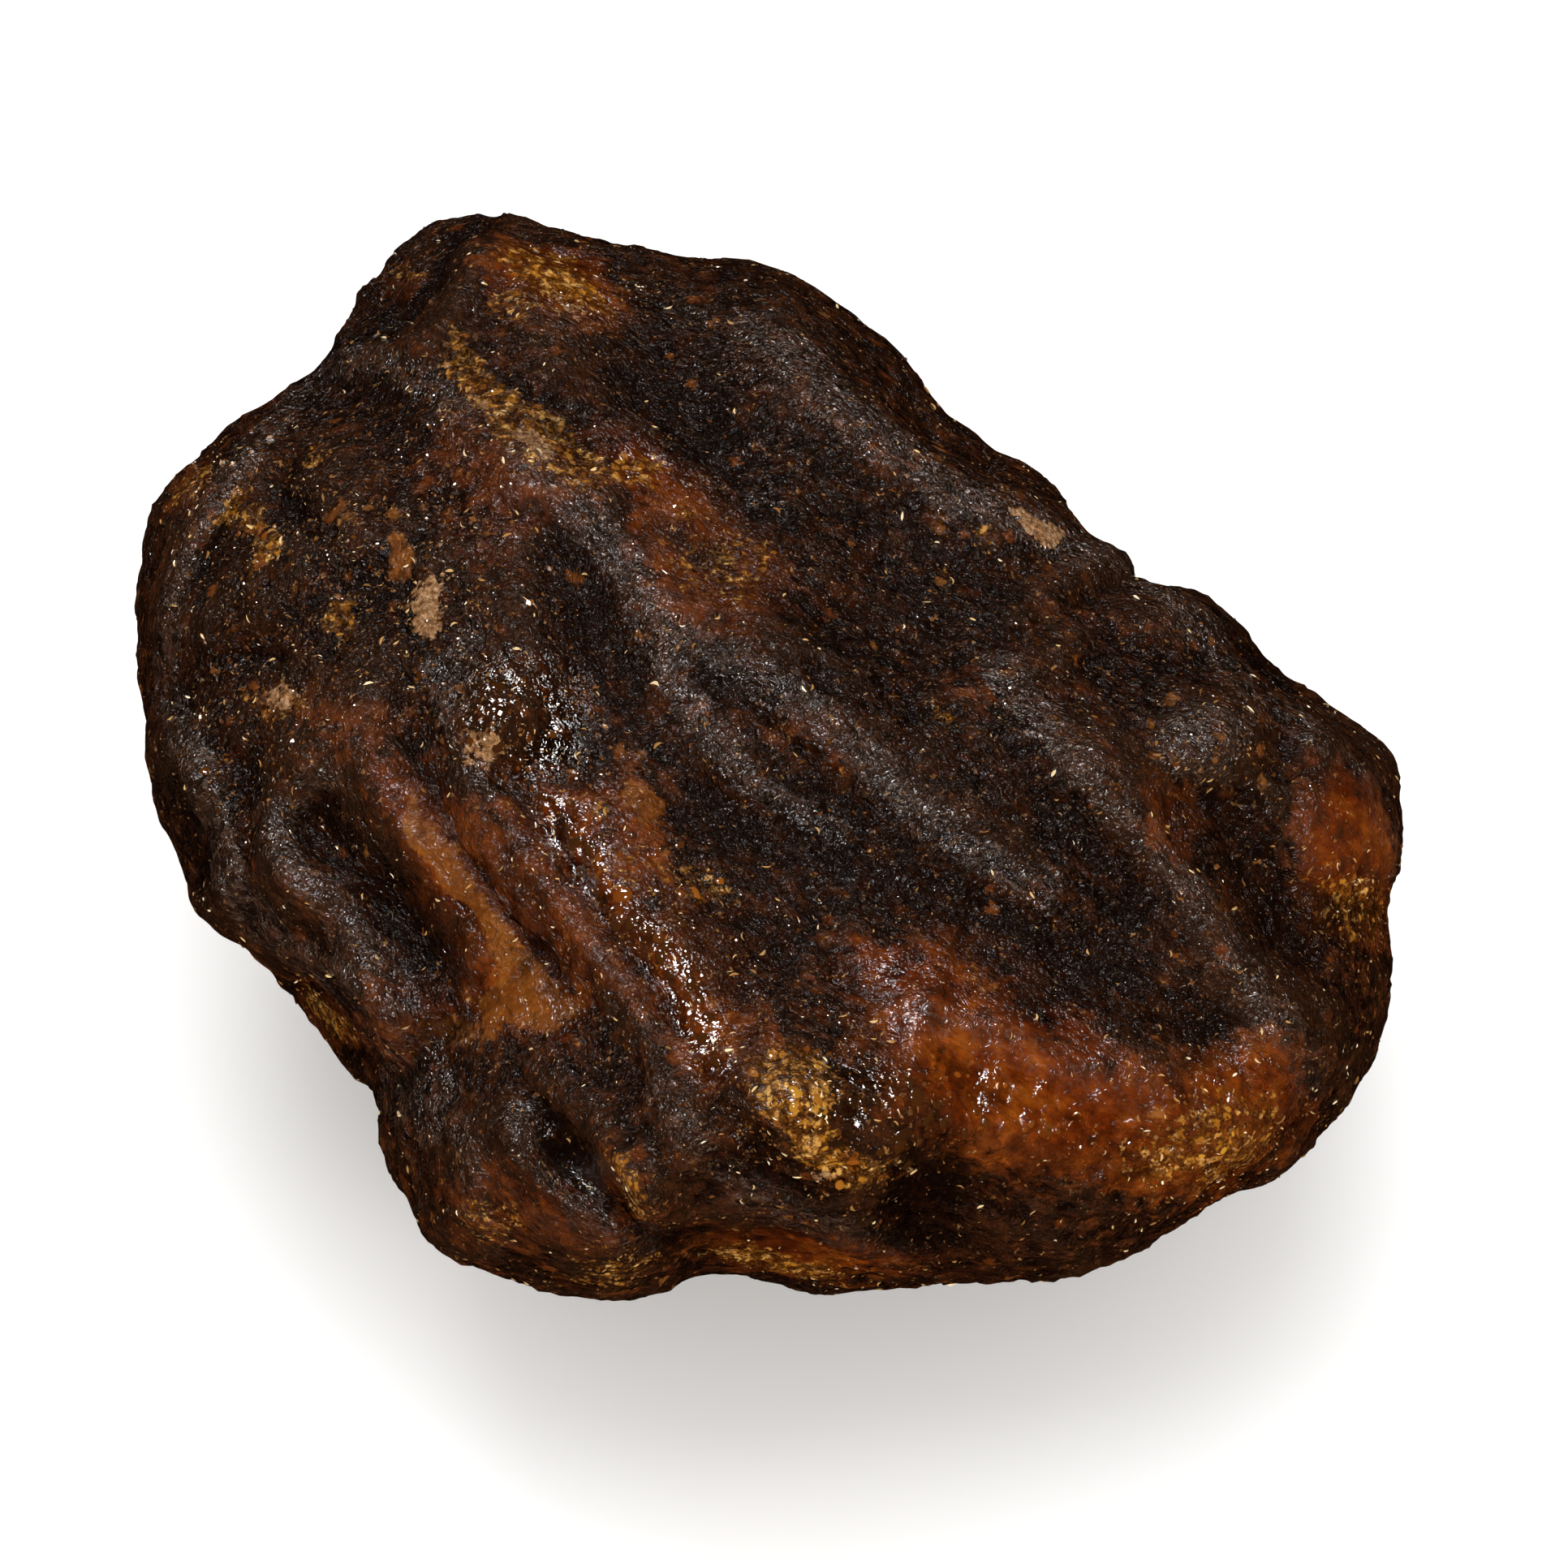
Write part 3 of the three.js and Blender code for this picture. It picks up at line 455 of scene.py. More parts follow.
# fibre coordinates and the wrinkles that follow them
cross_f, along_f, _, _ = fibre_grid(FACE_RELIEF, (0.78, -0.62))
cross_b, along_b, _, _ = fibre_grid(BACK_RELIEF, (0.86, -0.5))
Q = to_face(P)
blend = smooth((rho - 0.75) / 0.25) * 0.5
blend = np.where(front, blend, 1 - blend)
cross = sample(cross_f, Q[:, 0], Q[:, 1]) * (1 - blend) + sample(cross_b, Q[:, 0], Q[:, 1]) * blend
along = sample(along_f, Q[:, 0], Q[:, 1]) * (1 - blend) + sample(along_b, Q[:, 0], Q[:, 1]) * blend
bend = 0.7 * np.stack([noise(P / 3.1 + 5, 71), noise(P / 3.1 + 9, 73), noise(P / 3.1 + 2, 77)], 1)
fibre = np.stack([cross, along / 4.5, Q[:, 2] * 0.8], 1) + bend * [1, 0.5, 0.6]

N = normals_of(P, tris)


def ridged(p, wave, seed):
    return 1 - 2 * np.abs(noise(p / wave, seed))


crust = smooth(0.5 + 0.9 * fractal(P, 9.0, 401, 2))  # where the crust is roughest, away from the painted face
wrinkle = (
    0.18 * noise(fibre / 2.3, 501)
    + 0.14 * ridged(fibre, 1.25, 503)
    + 0.10 * ridged(fibre, 0.7, 507)
)
P = P + N * (wrinkle * (0.8 + 0.4 * crust))[:, None]

# ------------------------------------------------------------------ where each finish lies
# Patches of the broad face, placed one by one: (u, v), half-widths, angle, strength.
# Strokes: a line of points, half-width, strength.
PAINT = {
    "amber": [
        ("spot", (11, -15.4), 7.1, 3.55, -15, 1),
        ("spot", (6.2, -11.7), 4.48, 2.61, -25, 0.75),
        ("spot", (19.9, -16.6), 4.85, 3.36, 35, 1),
        ("spot", (26.1, -4.9), 2.8, 4.48, 15, 1),
        ("spot", (17.8, -3), 1.68, 1.87, -20, 0.8),
        ("spot", (-10.8, 22.4), 3.73, 2.05, -20, 0.9),
        ("spot", (-7.5, 13.9), 2.61, 2.24, -30, 0.7),
        ("spot", (-3, 8.6), 4.11, 3.17, -30, 0.75),
        ("spot", (1.5, 1.1), 3.36, 1.68, -35, 0.45),
        ("spot", (-8.8, -4.8), 4.11, 5.6, 25, 0.75),
        ("spot", (-4, -9.9), 3.36, 4.11, 30, 0.7),
        ("spot", (-2.2, -13.1), 2.61, 2.24, 0, 0.75),
        ("spot", (-14.8, -4.8), 2.24, 5.6, 32, 0.8),
        ("spot", (-11.8, -9.6), 4.11, 3.36, 0, 0.75),
        ("spot", (-17.1, -12.2), 2.61, 2.24, 0, 0.7),
        ("spot", (-11.3, 12.4), 2.61, 2.24, -20, 0.6),
        ("spot", (-15.2, 14), 2.24, 1.87, 0, 0.6),
        ("spot", (-11.8, -20.6), 4.11, 2.61, -10, 0.55),
        ("spot", (-7.7, -19.8), 2.24, 2.24, 0, 0.7),
        ("spot", (0, -22.8), 4.48, 1.12, -8, 0.9),
        ("spot", (-21.1, -12), 2.24, 0.97, -48, 0.9),
        ("spot", (-27.7, 12.3), 1.49, 1.49, 0, 0.7),
        ("spot", (-20.2, 1.9), 3.36, 1.49, -10, 0.55),
        ("spot", (8.9, 2.6), 2.24, 1.49, -20, 0.4),
        ("spot", (4.6, 14.1), 2.61, 1.49, -30, 0.3),
        ("spot", (13.6, -5.9), 2.61, 1.87, -30, 0.35),
        ("spot", (-18.3, 22.8), 2.24, 1.49, -40, 0.6),
        ("spot", (-3.7, 10.9), 3.36, 2.24, -35, 0.8),
        ("spot", (8.8, -9.1), 4.11, 1.87, -25, 0.6),
        ("spot", (-13.5, 10.5), 2.24, 2.24, -20, 0.6),
    ],
    "dark": [
        # a dark line along the knob step: painted shade where the surface drops behind the ridge
        ("stroke", [(-12.7, 26.8), (-14.1, 25.6), (-15.7, 24.2), (-16.3, 22.4), (-18.2, 20.6), (-21.2, 19.7)], 0.49, 0.95),
        ("spot", (-19.5, 6.4), 4.85, 4.11, 0, 0.95),
        ("spot", (-22.4, 11), 2.24, 2.61, 0, 0.8),
        ("spot", (-18.1, 10.2), 2.61, 2.24, 0, 0.6),
        ("spot", (-25, 6.4), 2.61, 4.48, 0, 0.7),
        ("spot", (-27.6, 0), 1.87, 4.11, -20, 0.8),
        ("spot", (-24, -1.9), 2.61, 3.36, 0, 0.7),
        ("spot", (0.4, 12.4), 7.47, 2.8, -32, 0.9),
        ("spot", (7.1, 8.6), 5.6, 2.61, -32, 0.8),
        ("spot", (-6.1, 16.3), 3.73, 2.24, -35, 0.5),
        ("spot", (3.7, 2.6), 7.1, 2.99, -35, 0.75),
        ("spot", (10.3, -1.8), 6.35, 3.36, -35, 0.85),
        ("spot", (13.6, -7), 4.48, 3.36, -35, 0.8),
        ("spot", (5.1, -4.4), 5.23, 2.24, -30, 0.8),
        ("spot", (-0.7, -2.6), 4.85, 2.24, -35, 0.7),
        ("spot", (-9.7, 7.8), 3.73, 2.99, -30, 0.6),
        ("spot", (-12.6, 4.8), 2.24, 2.24, 0, 0.4),
        ("spot", (-9.6, 0), 2.61, 1.87, 0, 0.8),
        ("spot", (-18.1, -5.2), 1.87, 4.85, 32, 0.75),
        ("spot", (-15.3, -8.5), 1.68, 2.61, 40, 0.7),
        ("spot", (5.1, -20.2), 4.11, 2.24, -5, 0.85),
        ("spot", (2.9, -18.3), 2.24, 1.49, 0, 0.8),
        ("spot", (-0.7, -17.9), 2.24, 1.49, 0, 0.6),
        ("spot", (-9.1, -18.1), 1.49, 0.97, -52, 1),
        ("spot", (-11.7, -16.5), 2.24, 1.87, 0, 0.4),
        ("spot", (16.9, 3), 3.36, 1.87, -25, 0.8),
        ("spot", (21.2, -1.1), 2.24, 2.24, 0, 0.6),
        ("spot", (22.6, -9.3), 2.61, 3.36, 30, 0.5),
        ("spot", (20.8, 6.6), 2.24, 1.49, 0, 0.6),
        ("spot", (16.1, 8.8), 2.24, 1.12, -30, 0.6),
        ("spot", (-3.4, 18.3), 3.36, 1.87, -30, 0.5),
        ("spot", (-25.6, -6.4), 1.87, 1.49, -40, 0.8),
        ("spot", (-8.8, -22.5), 4.11, 0.82, -6, 0.5),
        ("spot", (-2.9, -8.4), 1.49, 2.99, 35, 0.6),
    ],
    "gold": [
        ("spot", (-17.9, 23.4), 1.12, 0.52, -40, 0.5),
        ("stroke", [(-15.3, 18.7), (-12.9, 16.3), (-10.6, 14.5), (-8.6, 13.2)], 0.97, 0.9),
        ("spot", (-11.7, 14.5), 2.05, 1.05, -35, 0.8),
        ("spot", (-10.4, 22.4), 2.8, 1.12, -28, 0.85),
        ("spot", (-6.8, 13.3), 1.2, 0.97, -30, 0.7),
        ("spot", (-12.3, 21.1), 1.49, 0.82, 0, 0.5),
        ("spot", (0.6, -14.8), 1.87, 1.72, 0, 1),
        ("stroke", [(0.9, -15.3), (1.6, -17.4), (3.7, -18.7)], 0.9, 0.8),
        ("spot", (20, -17.4), 2.61, 1.87, 30, 0.75),
        ("spot", (17.1, -18.1), 1.87, 1.12, 0, 0.5),
        ("spot", (26.3, -7.1), 1.87, 1.68, 0, 0.6),
        ("spot", (-8.1, -2.6), 0.67, 0.37, 0, 0.7),
        ("spot", (-4.1, 11), 0.75, 0.63, 0, 0.7),
        ("spot", (-24.7, 10.8), 0.75, 0.82, 0, 0.8),
        ("spot", (-23.9, 9.5), 1.12, 0.45, 60, 0.9),
        ("spot", (-25.6, 11.8), 1.49, 0.45, 50, 0.7),
        ("spot", (-27.8, 12.7), 1.12, 0.52, 50, 0.7),
        ("spot", (-20.1, 6.2), 0.75, 0.52, 10, 0.8),
        ("spot", (-21.6, 14.1), 0.9, 0.6, 20, 0.6),
        ("spot", (9.4, 10), 0.45, 0.34, 0, 0.9),
        ("spot", (9.9, 9), 0.37, 0.3, 0, 0.8),
        ("spot", (-3, 8.6), 2.24, 1.12, -30, 0.45),
        ("spot", (-1.1, 9), 1.49, 0.9, 0, 0.4),
        ("spot", (-3.3, -5.9), 1.87, 1.12, -30, 0.45),
        ("spot", (-7, -5.5), 1.49, 0.97, -20, 0.35),
        ("spot", (-6.6, -19), 0.75, 1.49, 25, 0.7),
        ("spot", (-0.4, -23), 3.36, 0.52, -10, 0.8),
        ("spot", (-21.1, -12), 1.87, 0.52, -48, 0.85),
        ("spot", (-12.9, -21), 1.49, 1.12, 0, 0.45),
        ("spot", (-7.4, -23.3), 2.24, 0.82, 10, 0.5),
        ("spot", (-23.3, 2.3), 1.34, 0.6, 0, 0.6),
        ("spot", (10.4, 3.3), 0.52, 0.34, 0, 0.6),
        ("spot", (7.8, 1.8), 0.45, 0.34, 0, 0.6),
    ],
    "glow": [
        ("spot", (-10.8, 22.6), 2.24, 1.34, -25, 0.8),
        ("spot", (-4.1, 12), 1.68, 1.49, -30, 0.35),
        ("spot", (-8.4, -4), 2.61, 3.36, 30, 0.35),
        ("spot", (11.3, -14.6), 5.6, 2.61, -15, 1),
        ("spot", (6.2, -10.8), 2.99, 1.68, -25, 0.6),
        ("spot", (19.9, -16.8), 3.73, 2.43, 35, 0.8),
        ("spot", (26.1, -3.9), 2.05, 2.61, 0, 1),
        ("spot", (1.5, -22.5), 4.11, 0.82, -8, 0.8),
        ("spot", (-10.4, 22.6), 2.99, 1.2, -25, 0.7),
        ("spot", (-6.8, 13.5), 1.31, 1.12, -20, 0.8),
        ("spot", (-15.9, -5.2), 1.12, 4.85, 30, 0.6),
        ("spot", (-11.4, -11.2), 2.61, 1.49, -10, 0.7),
    ],
    "ochre": [
        ("spot", (-10.4, 22.6), 2.61, 0.97, -25, 0.55),
        ("stroke", [(-16.8, -2.6), (-15.3, -4.8), (-13.3, -7.4), (-11.8, -9.6)], 0.63, 0.95),
        ("spot", (-11.4, -11.2), 2.17, 1.42, -10, 0.95),
        ("spot", (-14.8, -12.6), 2.09, 0.82, -5, 0.6),
        ("spot", (-6.2, -2), 1.05, 0.67, -28, 1),
        ("spot", (-17.5, 8.8), 0.56, 1.05, 15, 1),
        ("spot", (-20.8, 11.3), 0.82, 0.37, 45, 0.9),
    ],
    # pale cream spots: partly pale grains, partly painted highlights where glints fall on the knob, the left crust and
    # the back crest
    "cream_and_highlight": [
        ("spot", (-16, 6.9), 0.75, 1.34, -15, 1),
        ("spot", (-23.1, 2.6), 0.75, 0.45, 15, 1),
        ("spot", (-13.1, 0.8), 0.75, 0.6, 0, 0.9),
        ("spot", (-13.7, 0), 0.82, 0.6, 0, 0.6),
        ("spot", (-11.5, 14.5), 1.27, 0.49, -30, 0.75),
        ("spot", (-13.7, 16.1), 1.12, 0.37, -38, 0.5),
        ("stroke", [(11.2, 11.1), (12, 10.7), (13, 10.2)], 0.3, 0.9),
        ("spot", (-10, 21.1), 1.12, 0.6, -20, 0.35),
        ("spot", (1.8, -18.7), 0.6, 0.3, 0, 0.5),
    ],
    # grey strokes along the crests: painted sheen, where light glances off the crests
    "grey_sheen": [
        ("stroke", [(-21, 18.6), (-23.3, 16.7), (-25, 13.8), (-26.8, 11.1), (-28.3, 8), (-28.7, 4.2)], 0.82, 0.9),
        ("stroke", [(-28.6, 2.7), (-26.8, -1.1), (-25.8, -4.1), (-24.8, -6.8), (-22.1, -9), (-19.4, -10.8), (-17.9, -13.4), (-17.7, -16.1)], 0.9, 0.85),
        ("stroke", [(-21, -1.1), (-23, -3), (-22, -5.6), (-19.7, -7.8), (-17.4, -10.4), (-16.3, -13.4), (-15.9, -17)], 0.9, 0.85),
        ("stroke", [(-20.6, 19), (-17.7, 18.2), (-15.2, 16.4)], 0.9, 0.7),
        ("stroke", [(-12.1, 14), (-8.6, 10.9), (-6.7, 7.8), (-4.1, 5.2), (0, 3), (3.7, 0), (8.1, -4), (12.1, -6.2)], 0.97, 0.75),
        ("stroke", [(-6.3, 6.3), (-4.4, 2.6), (-1.5, -1.1), (2.9, -3.7)], 0.82, 0.7),
        ("stroke", [(-1.2, 20.4), (3.1, 16.4), (6.5, 13.3), (11, 11), (17.1, 8.6), (20.5, 4.9)], 0.97, 0.8),
        ("stroke", [(-4.6, 21.2), (0, 17.5), (4.6, 14.1)], 1.12, 0.4),
        ("spot", (19.6, 0.4), 2.24, 1.87, 0, 0.9),
        ("stroke", [(10, 3.7), (13.3, 0), (16.3, -3.3), (18.8, -6.3), (22.2, -11.5), (24.2, -14.9)], 0.97, 0.7),
        ("stroke", [(20.5, 4.2), (24.2, 1.5), (27.2, -1.1), (28.8, -4.9), (29.4, -7.6)], 0.9, 0.6),
        ("stroke", [(-11.7, -16.5), (-9.9, -19.1), (-7.7, -21.1), (-5.9, -21.7)], 0.82, 0.9),
        ("stroke", [(-14.8, 2.2), (-15.6, 3.7), (-14.1, 5.2)], 0.82, 0.7),
        ("stroke", [(-14.8, 1.9), (-13.3, -2.2), (-10.3, -6.2), (-7.3, -10.2), (-4.7, -13.9)], 0.75, 0.45),
        ("stroke", [(-14.8, -15.1), (-14, -18.4), (-12.6, -22.2)], 0.75, 0.5),
        ("spot", (8.4, -12.4), 4.85, 0.97, -18, 0.6),
        ("spot", (13.6, -13.9), 4.11, 0.9, -18, 0.6),
        ("spot", (-18.8, 23.5), 2.24, 2.99, -30, 0.4),
        ("spot", (-3, 14), 3.36, 1.49, -30, 0.25),
        ("stroke", [(-5.1, -15.3), (-2.2, -18.7), (1.5, -21), (5.2, -22.5)], 0.97, 0.6),
    ],
    "grain": [
        ("spot", (-19.5, 7.9), 6.35, 6.72, 0, 1),
        ("spot", (-25.6, 11.1), 2.99, 3.36, 0, 0.7),
        ("spot", (-11.8, 1.5), 3.36, 2.99, 0, 1),
        ("spot", (-5.9, -7.3), 2.99, 6.72, 35, 1),
        ("spot", (0.7, -15.3), 4.11, 4.11, 0, 1),
        ("spot", (4.8, -16.4), 2.99, 2.24, 0, 1),
        ("spot", (-13.4, 7.1), 3.36, 3.36, 0, 0.7),
        ("spot", (19.6, 0.4), 2.61, 2.24, 0, 0.9),
        ("spot", (19.9, -17), 4.85, 3.36, 30, 0.7),
        ("spot", (25.4, -6.4), 2.61, 4.11, 0, 0.6),
        ("spot", (-10, 21.1), 4.11, 2.61, 0, 0.4),
        ("spot", (-24.8, 1.1), 3.36, 3.36, 0, 0.6),
        ("spot", (10.8, 4.9), 4.48, 2.24, -30, 0.35),
        ("spot", (-15.2, 15.6), 4.48, 2.24, -30, 0.6),
        ("spot", (-4.5, 10.9), 1.87, 1.49, 0, 0.4),
        ("spot", (-9.6, -2.9), 2.99, 2.24, 0, 0.9),
    ],
    "wet": [
        ("spot", (-11.8, 1.5), 2.99, 2.61, 0, 0.9),
        ("stroke", [(-9.9, -2.9), (-8.7, -5.1), (-7, -7.1), (-5.3, -9), (-4, -10.8), (-3.1, -13.5)], 0.97, 1),
        ("spot", (3.7, -16.4), 4.11, 2.61, 0, 0.9),
        ("spot", (11.3, -17.2), 7.47, 2.99, -12, 0.45),
        ("spot", (-9.1, -18.1), 1.49, 1.12, -50, 0.9),
        ("spot", (5.5, -16.3), 2.61, 2.24, 0, 1),
        ("spot", (9.9, -16.1), 4.11, 1.68, -10, 0.8),
        ("spot", (19.9, -17), 4.48, 2.99, 30, 0.6),
    ],
}

N = normals_of(P, tris)
Q = to_face(P)
towards = N @ FACE_TO_PART[:, 2]  # how far each point looks out of the broad face
facing = smooth((towards + 0.12) / 0.3)
warp = np.stack([fractal(P, 2.4, 601, 3), fractal(P, 2.4, 607, 3)], 1)
wu = Q[:, 0] + 0.9 * warp[:, 0]
wv = Q[:, 1] + 0.9 * warp[:, 1]
ragged = fractal(fibre, 1.1, 613, 3)


def painted(name):
    """0 to 1: the patches of one finish on the broad face, with ragged edges."""
    keep = np.zeros(nv)
    for item in PAINT.get(name, ()):
        if item[0] == "spot":
            _, at, ra, rb, angle, strength = item
            c, s = math.cos(math.radians(angle)), math.sin(math.radians(angle))
            a = ((wu - at[0]) * c + (wv - at[1]) * s) / ra
            b = (-(wu - at[0]) * s + (wv - at[1]) * c) / rb
            r = np.sqrt(a * a + b * b)
            k = strength * smooth(1.5 - r + 0.25 * ragged)
        else:
            _, pts, width, strength = item
            near = (
                (wu > min(p[0] for p in pts) - 3 * width) & (wu < max(p[0] for p in pts) + 3 * width)
                & (wv > min(p[1] for p in pts) - 3 * width) & (wv < max(p[1] for p in pts) + 3 * width)
            )
            k = np.zeros(nv)
            d = nearest(rounded(pts), wu[near], wv[near])[0]
            k[near] = strength * smooth(1.5 - d / width + 0.25 * ragged[near])
        keep = 1 - (1 - keep) * (1 - np.clip(k, 0, 1))
    return keep * facing


def scattered(wave, seed, cut, soft, p=None):
    """0 to 1: patches by noise, for the sides that the broad face doesn't show."""
    f = fractal(P if p is None else p, wave, seed, 3)
    return smooth((f - cut) / soft + 0.5)


away = 1 - facing
M = {}
M["amber"] = np.maximum(painted("amber"), away * scattered(8.0, 701, 0.12, 0.35))
M["glow"] = np.maximum(painted("glow"), away * scattered(7.0, 709, 0.34, 0.2))
M["ochre"] = np.maximum(painted("ochre"), away * scattered(4.0, 761, 0.5, 0.12))
M["gold"] = np.maximum(painted("gold"), away * scattered(3.2, 719, 0.42, 0.15))
M["cream_and_highlight"] = np.maximum(painted("cream_and_highlight"), away * scattered(2.2, 727, 0.52, 0.12))
M["dark"] = np.maximum(painted("dark"), away * scattered(6.0, 733, 0.08, 0.35))
M["grey_sheen"] = np.maximum(painted("grey_sheen"), away * scattered(5.0, 739, 0.2, 0.4) * 0.7)
M["grain"] = np.maximum(painted("grain"), away * scattered(5.0, 743, 0.1, 0.4) * 0.8)
M["wet"] = np.maximum(painted("wet"), away * scattered(6.5, 751, 0.3, 0.3) * 0.6)

# ------------------------------------------------------------------ lumps, roughest where sand is set in the crust
lumps = 0.13 * noise(P / 1.7, 511) + 0.075 * noise(P / 0.85, 513)
N = normals_of(P, tris)
P = P + N * (lumps * (0.45 + 0.6 * crust + 0.7 * M["grain"]) * (1 - 0.5 * M["glow"]))[:, None]

# feet, then the worn flats it stands on
x, y = P[:, 0] + SHIFT[0], P[:, 1] + SHIFT[1]
drop = sum(depth * np.exp(-((x - fx) ** 2 + (y - fy) ** 2) / r**2) for fx, fy, r, depth in FEET)
low = P[:, 2] < 0
P[low, 2] -= (drop * smooth(-P[:, 2] / 8))[low]
P = P + SHIFT
P[:, 2] = np.maximum(P[:, 2], 0.0)

# from the curvature: crests made paler, partly wear and partly painted sheen, and hollows made darker as painted shade
edges = np.concatenate([tris[:, [0, 1]], tris[:, [1, 2]], tris[:, [2, 0]]])
deg = np.bincount(edges[:, 0], minlength=nv).astype(float)


def relaxed(values, rounds):
    for _ in range(rounds):
        values = np.stack([np.bincount(edges[:, 0], values[edges[:, 1], k], nv) / deg for k in range(values.shape[1])], 1)
    return values


N = normals_of(P, tris)
soft_p = relaxed(P, 24)
crest = np.clip(((P - soft_p) * N).sum(1) / 0.16, -1, 1)
broad = relaxed(soft_p, 60)
swell = np.clip(((soft_p - broad) * N).sum(1) / 0.25, -1, 1)
M["crest"] = np.clip(0.6 * crest + 0.6 * swell, -1, 1)

mesh = bpy.data.meshes.new("amber_nugget")
mesh.from_pydata([], [], [])
mesh.vertices.add(nv)
mesh.vertices.foreach_set("co", (P * MM).ravel())
mesh.loops.add(len(tris) * 3)
mesh.loops.foreach_set("vertex_index", tris.ravel())
mesh.polygons.add(len(tris))
mesh.polygons.foreach_set("loop_start", np.arange(0, len(tris) * 3, 3))
mesh.polygons.foreach_set("use_smooth", np.ones(len(tris), bool))
mesh.update(calc_edges=True)
mesh.validate()
for name, values in M.items():
    mesh.attributes.new("m_" + name, "FLOAT", "POINT").data.foreach_set("value", values.astype(np.float32))
mesh.attributes.new("fibre", "FLOAT_VECTOR", "POINT").data.foreach_set("vector", fibre.astype(np.float32).ravel())
nugget = bpy.data.objects.new("amber_nugget", mesh)
bpy.context.collection.objects.link(nugget)

# the mesh is thinned where it is smooth, to stay within the triangle limit
thin = nugget.modifiers.new("thin", "DECIMATE")
thin.ratio = 194000 / len(tris)
bpy.context.view_layer.objects.active = nugget
nugget.select_set(True)
bpy.ops.object.modifier_apply(modifier="thin")
nugget.select_set(False)
bpy.data.meshes.remove(sphere)

# ------------------------------------------------------------------ materials
def material(name):
    m = bpy.data.materials.new(name)
    m.use_nodes = True
    m.node_tree.nodes.clear()
    return m, m.node_tree.nodes, m.node_tree.links


class Graph:
    """Short hand for shader nodes: each call makes a node and returns its output."""

    def __init__(self, mat):
        self.nodes, self.links = mat.node_tree.nodes, mat.node_tree.links

    def put(self, socket, value):
        if isinstance(value, bpy.types.NodeSocket):
            self.links.new(value, socket)
        elif value is not None:
            socket.default_value = value

    def attr(self, name, out="Fac"):
        n = self.nodes.new("ShaderNodeAttribute")
        n.attribute_name = name
        return n.outputs[out]

    def math(self, op, a, b=None, c=None, clamp=False):
        n = self.nodes.new("ShaderNodeMath")
        n.operation = op
        n.use_clamp = clamp
        for s, v in zip(n.inputs, (a, b, c)):
            self.put(s, v)
        return n.outputs[0]

    def scale(self, v, k):
        n = self.nodes.new("ShaderNodeVectorMath")
        n.operation = "SCALE"
        self.put(n.inputs[0], v)
        self.put(n.inputs["Scale"], k)
        return n.outputs[0]

    def vadd(self, a, b):
        n = self.nodes.new("ShaderNodeVectorMath")
        n.operation = "ADD"
        self.put(n.inputs[0], a)
        self.put(n.inputs[1], b)
        return n.outputs[0]

    def noise(self, v, scale, detail=3.0, rough=0.55, out="Fac", distortion=0.0):
        n = self.nodes.new("ShaderNodeTexNoise")
        self.put(n.inputs["Vector"], v)
        n.inputs["Scale"].default_value = scale
        n.inputs["Detail"].default_value = detail
        n.inputs["Roughness"].default_value = rough
        n.inputs["Distortion"].default_value = distortion
        return n.outputs[out]

    def threads(self, v, scale, detail=3.0, rough=0.5):
        n = self.nodes.new("ShaderNodeTexNoise")
        n.noise_type = "RIDGED_MULTIFRACTAL"
        self.put(n.inputs["Vector"], v)
        n.inputs["Scale"].default_value = scale
        n.inputs["Detail"].default_value = detail
        n.inputs["Roughness"].default_value = rough
        n.inputs["Lacunarity"].default_value = 2.1
        n.inputs["Offset"].default_value = 0.95
        n.inputs["Gain"].default_value = 1.6
        return n.outputs["Fac"]

    def cells(self, v, scale, out="Distance", feature="F1", randomness=1.0):
        n = self.nodes.new("ShaderNodeTexVoronoi")
        n.feature = feature
        self.put(n.inputs["Vector"], v)
        n.inputs["Scale"].default_value = scale
        n.inputs["Randomness"].default_value = randomness
        return n.outputs[out]

    def cell_pair(self, v, scale):
        n = self.nodes.new("ShaderNodeTexVoronoi")
        self.put(n.inputs["Vector"], v)
        n.inputs["Scale"].default_value = scale
        split = self.nodes.new("ShaderNodeSeparateColor")
        self.put(split.inputs[0], n.outputs["Color"])
        return n.outputs["Distance"], split

    def span(self, x, lo, hi, to_lo=0.0, to_hi=1.0, soft=True):
        n = self.nodes.new("ShaderNodeMapRange")
        n.interpolation_type = "SMOOTHSTEP" if soft else "LINEAR"
        for s, v in zip(n.inputs, (x, lo, hi, to_lo, to_hi)):
            self.put(s, v)
        return n.outputs[0]

    def blend(self, fac, a, b, mode="MIX"):
        n = self.nodes.new("ShaderNodeMix")
        n.data_type = "RGBA"
        n.blend_type = mode
        n.clamp_factor = True
        self.put(n.inputs[0], fac)
        self.put(n.inputs[6], a)
        self.put(n.inputs[7], b)
        return n.outputs[2]

    def ramp(self, fac, stops):
        n = self.nodes.new("ShaderNodeValToRGB")
        self.put(n.inputs[0], fac)
        e = n.color_ramp.elements
        e[0].position, e[0].color = stops[0]
        e[1].position, e[1].color = stops[-1]
        for at, col in stops[1:-1]:
            s = e.new(at)
            s.color = col
        return n.outputs[0]

    def bump(self, height, distance, strength=1.0, normal=None):
        n = self.nodes.new("ShaderNodeBump")
        n.inputs["Distance"].default_value = distance
        n.inputs["Strength"].default_value = strength
        self.put(n.inputs["Height"], height)
        if normal is not None:
            self.put(n.inputs["Normal"], normal)
        return n.outputs[0]


def rgb(r, g, b):
    return (r, g, b, 1.0)


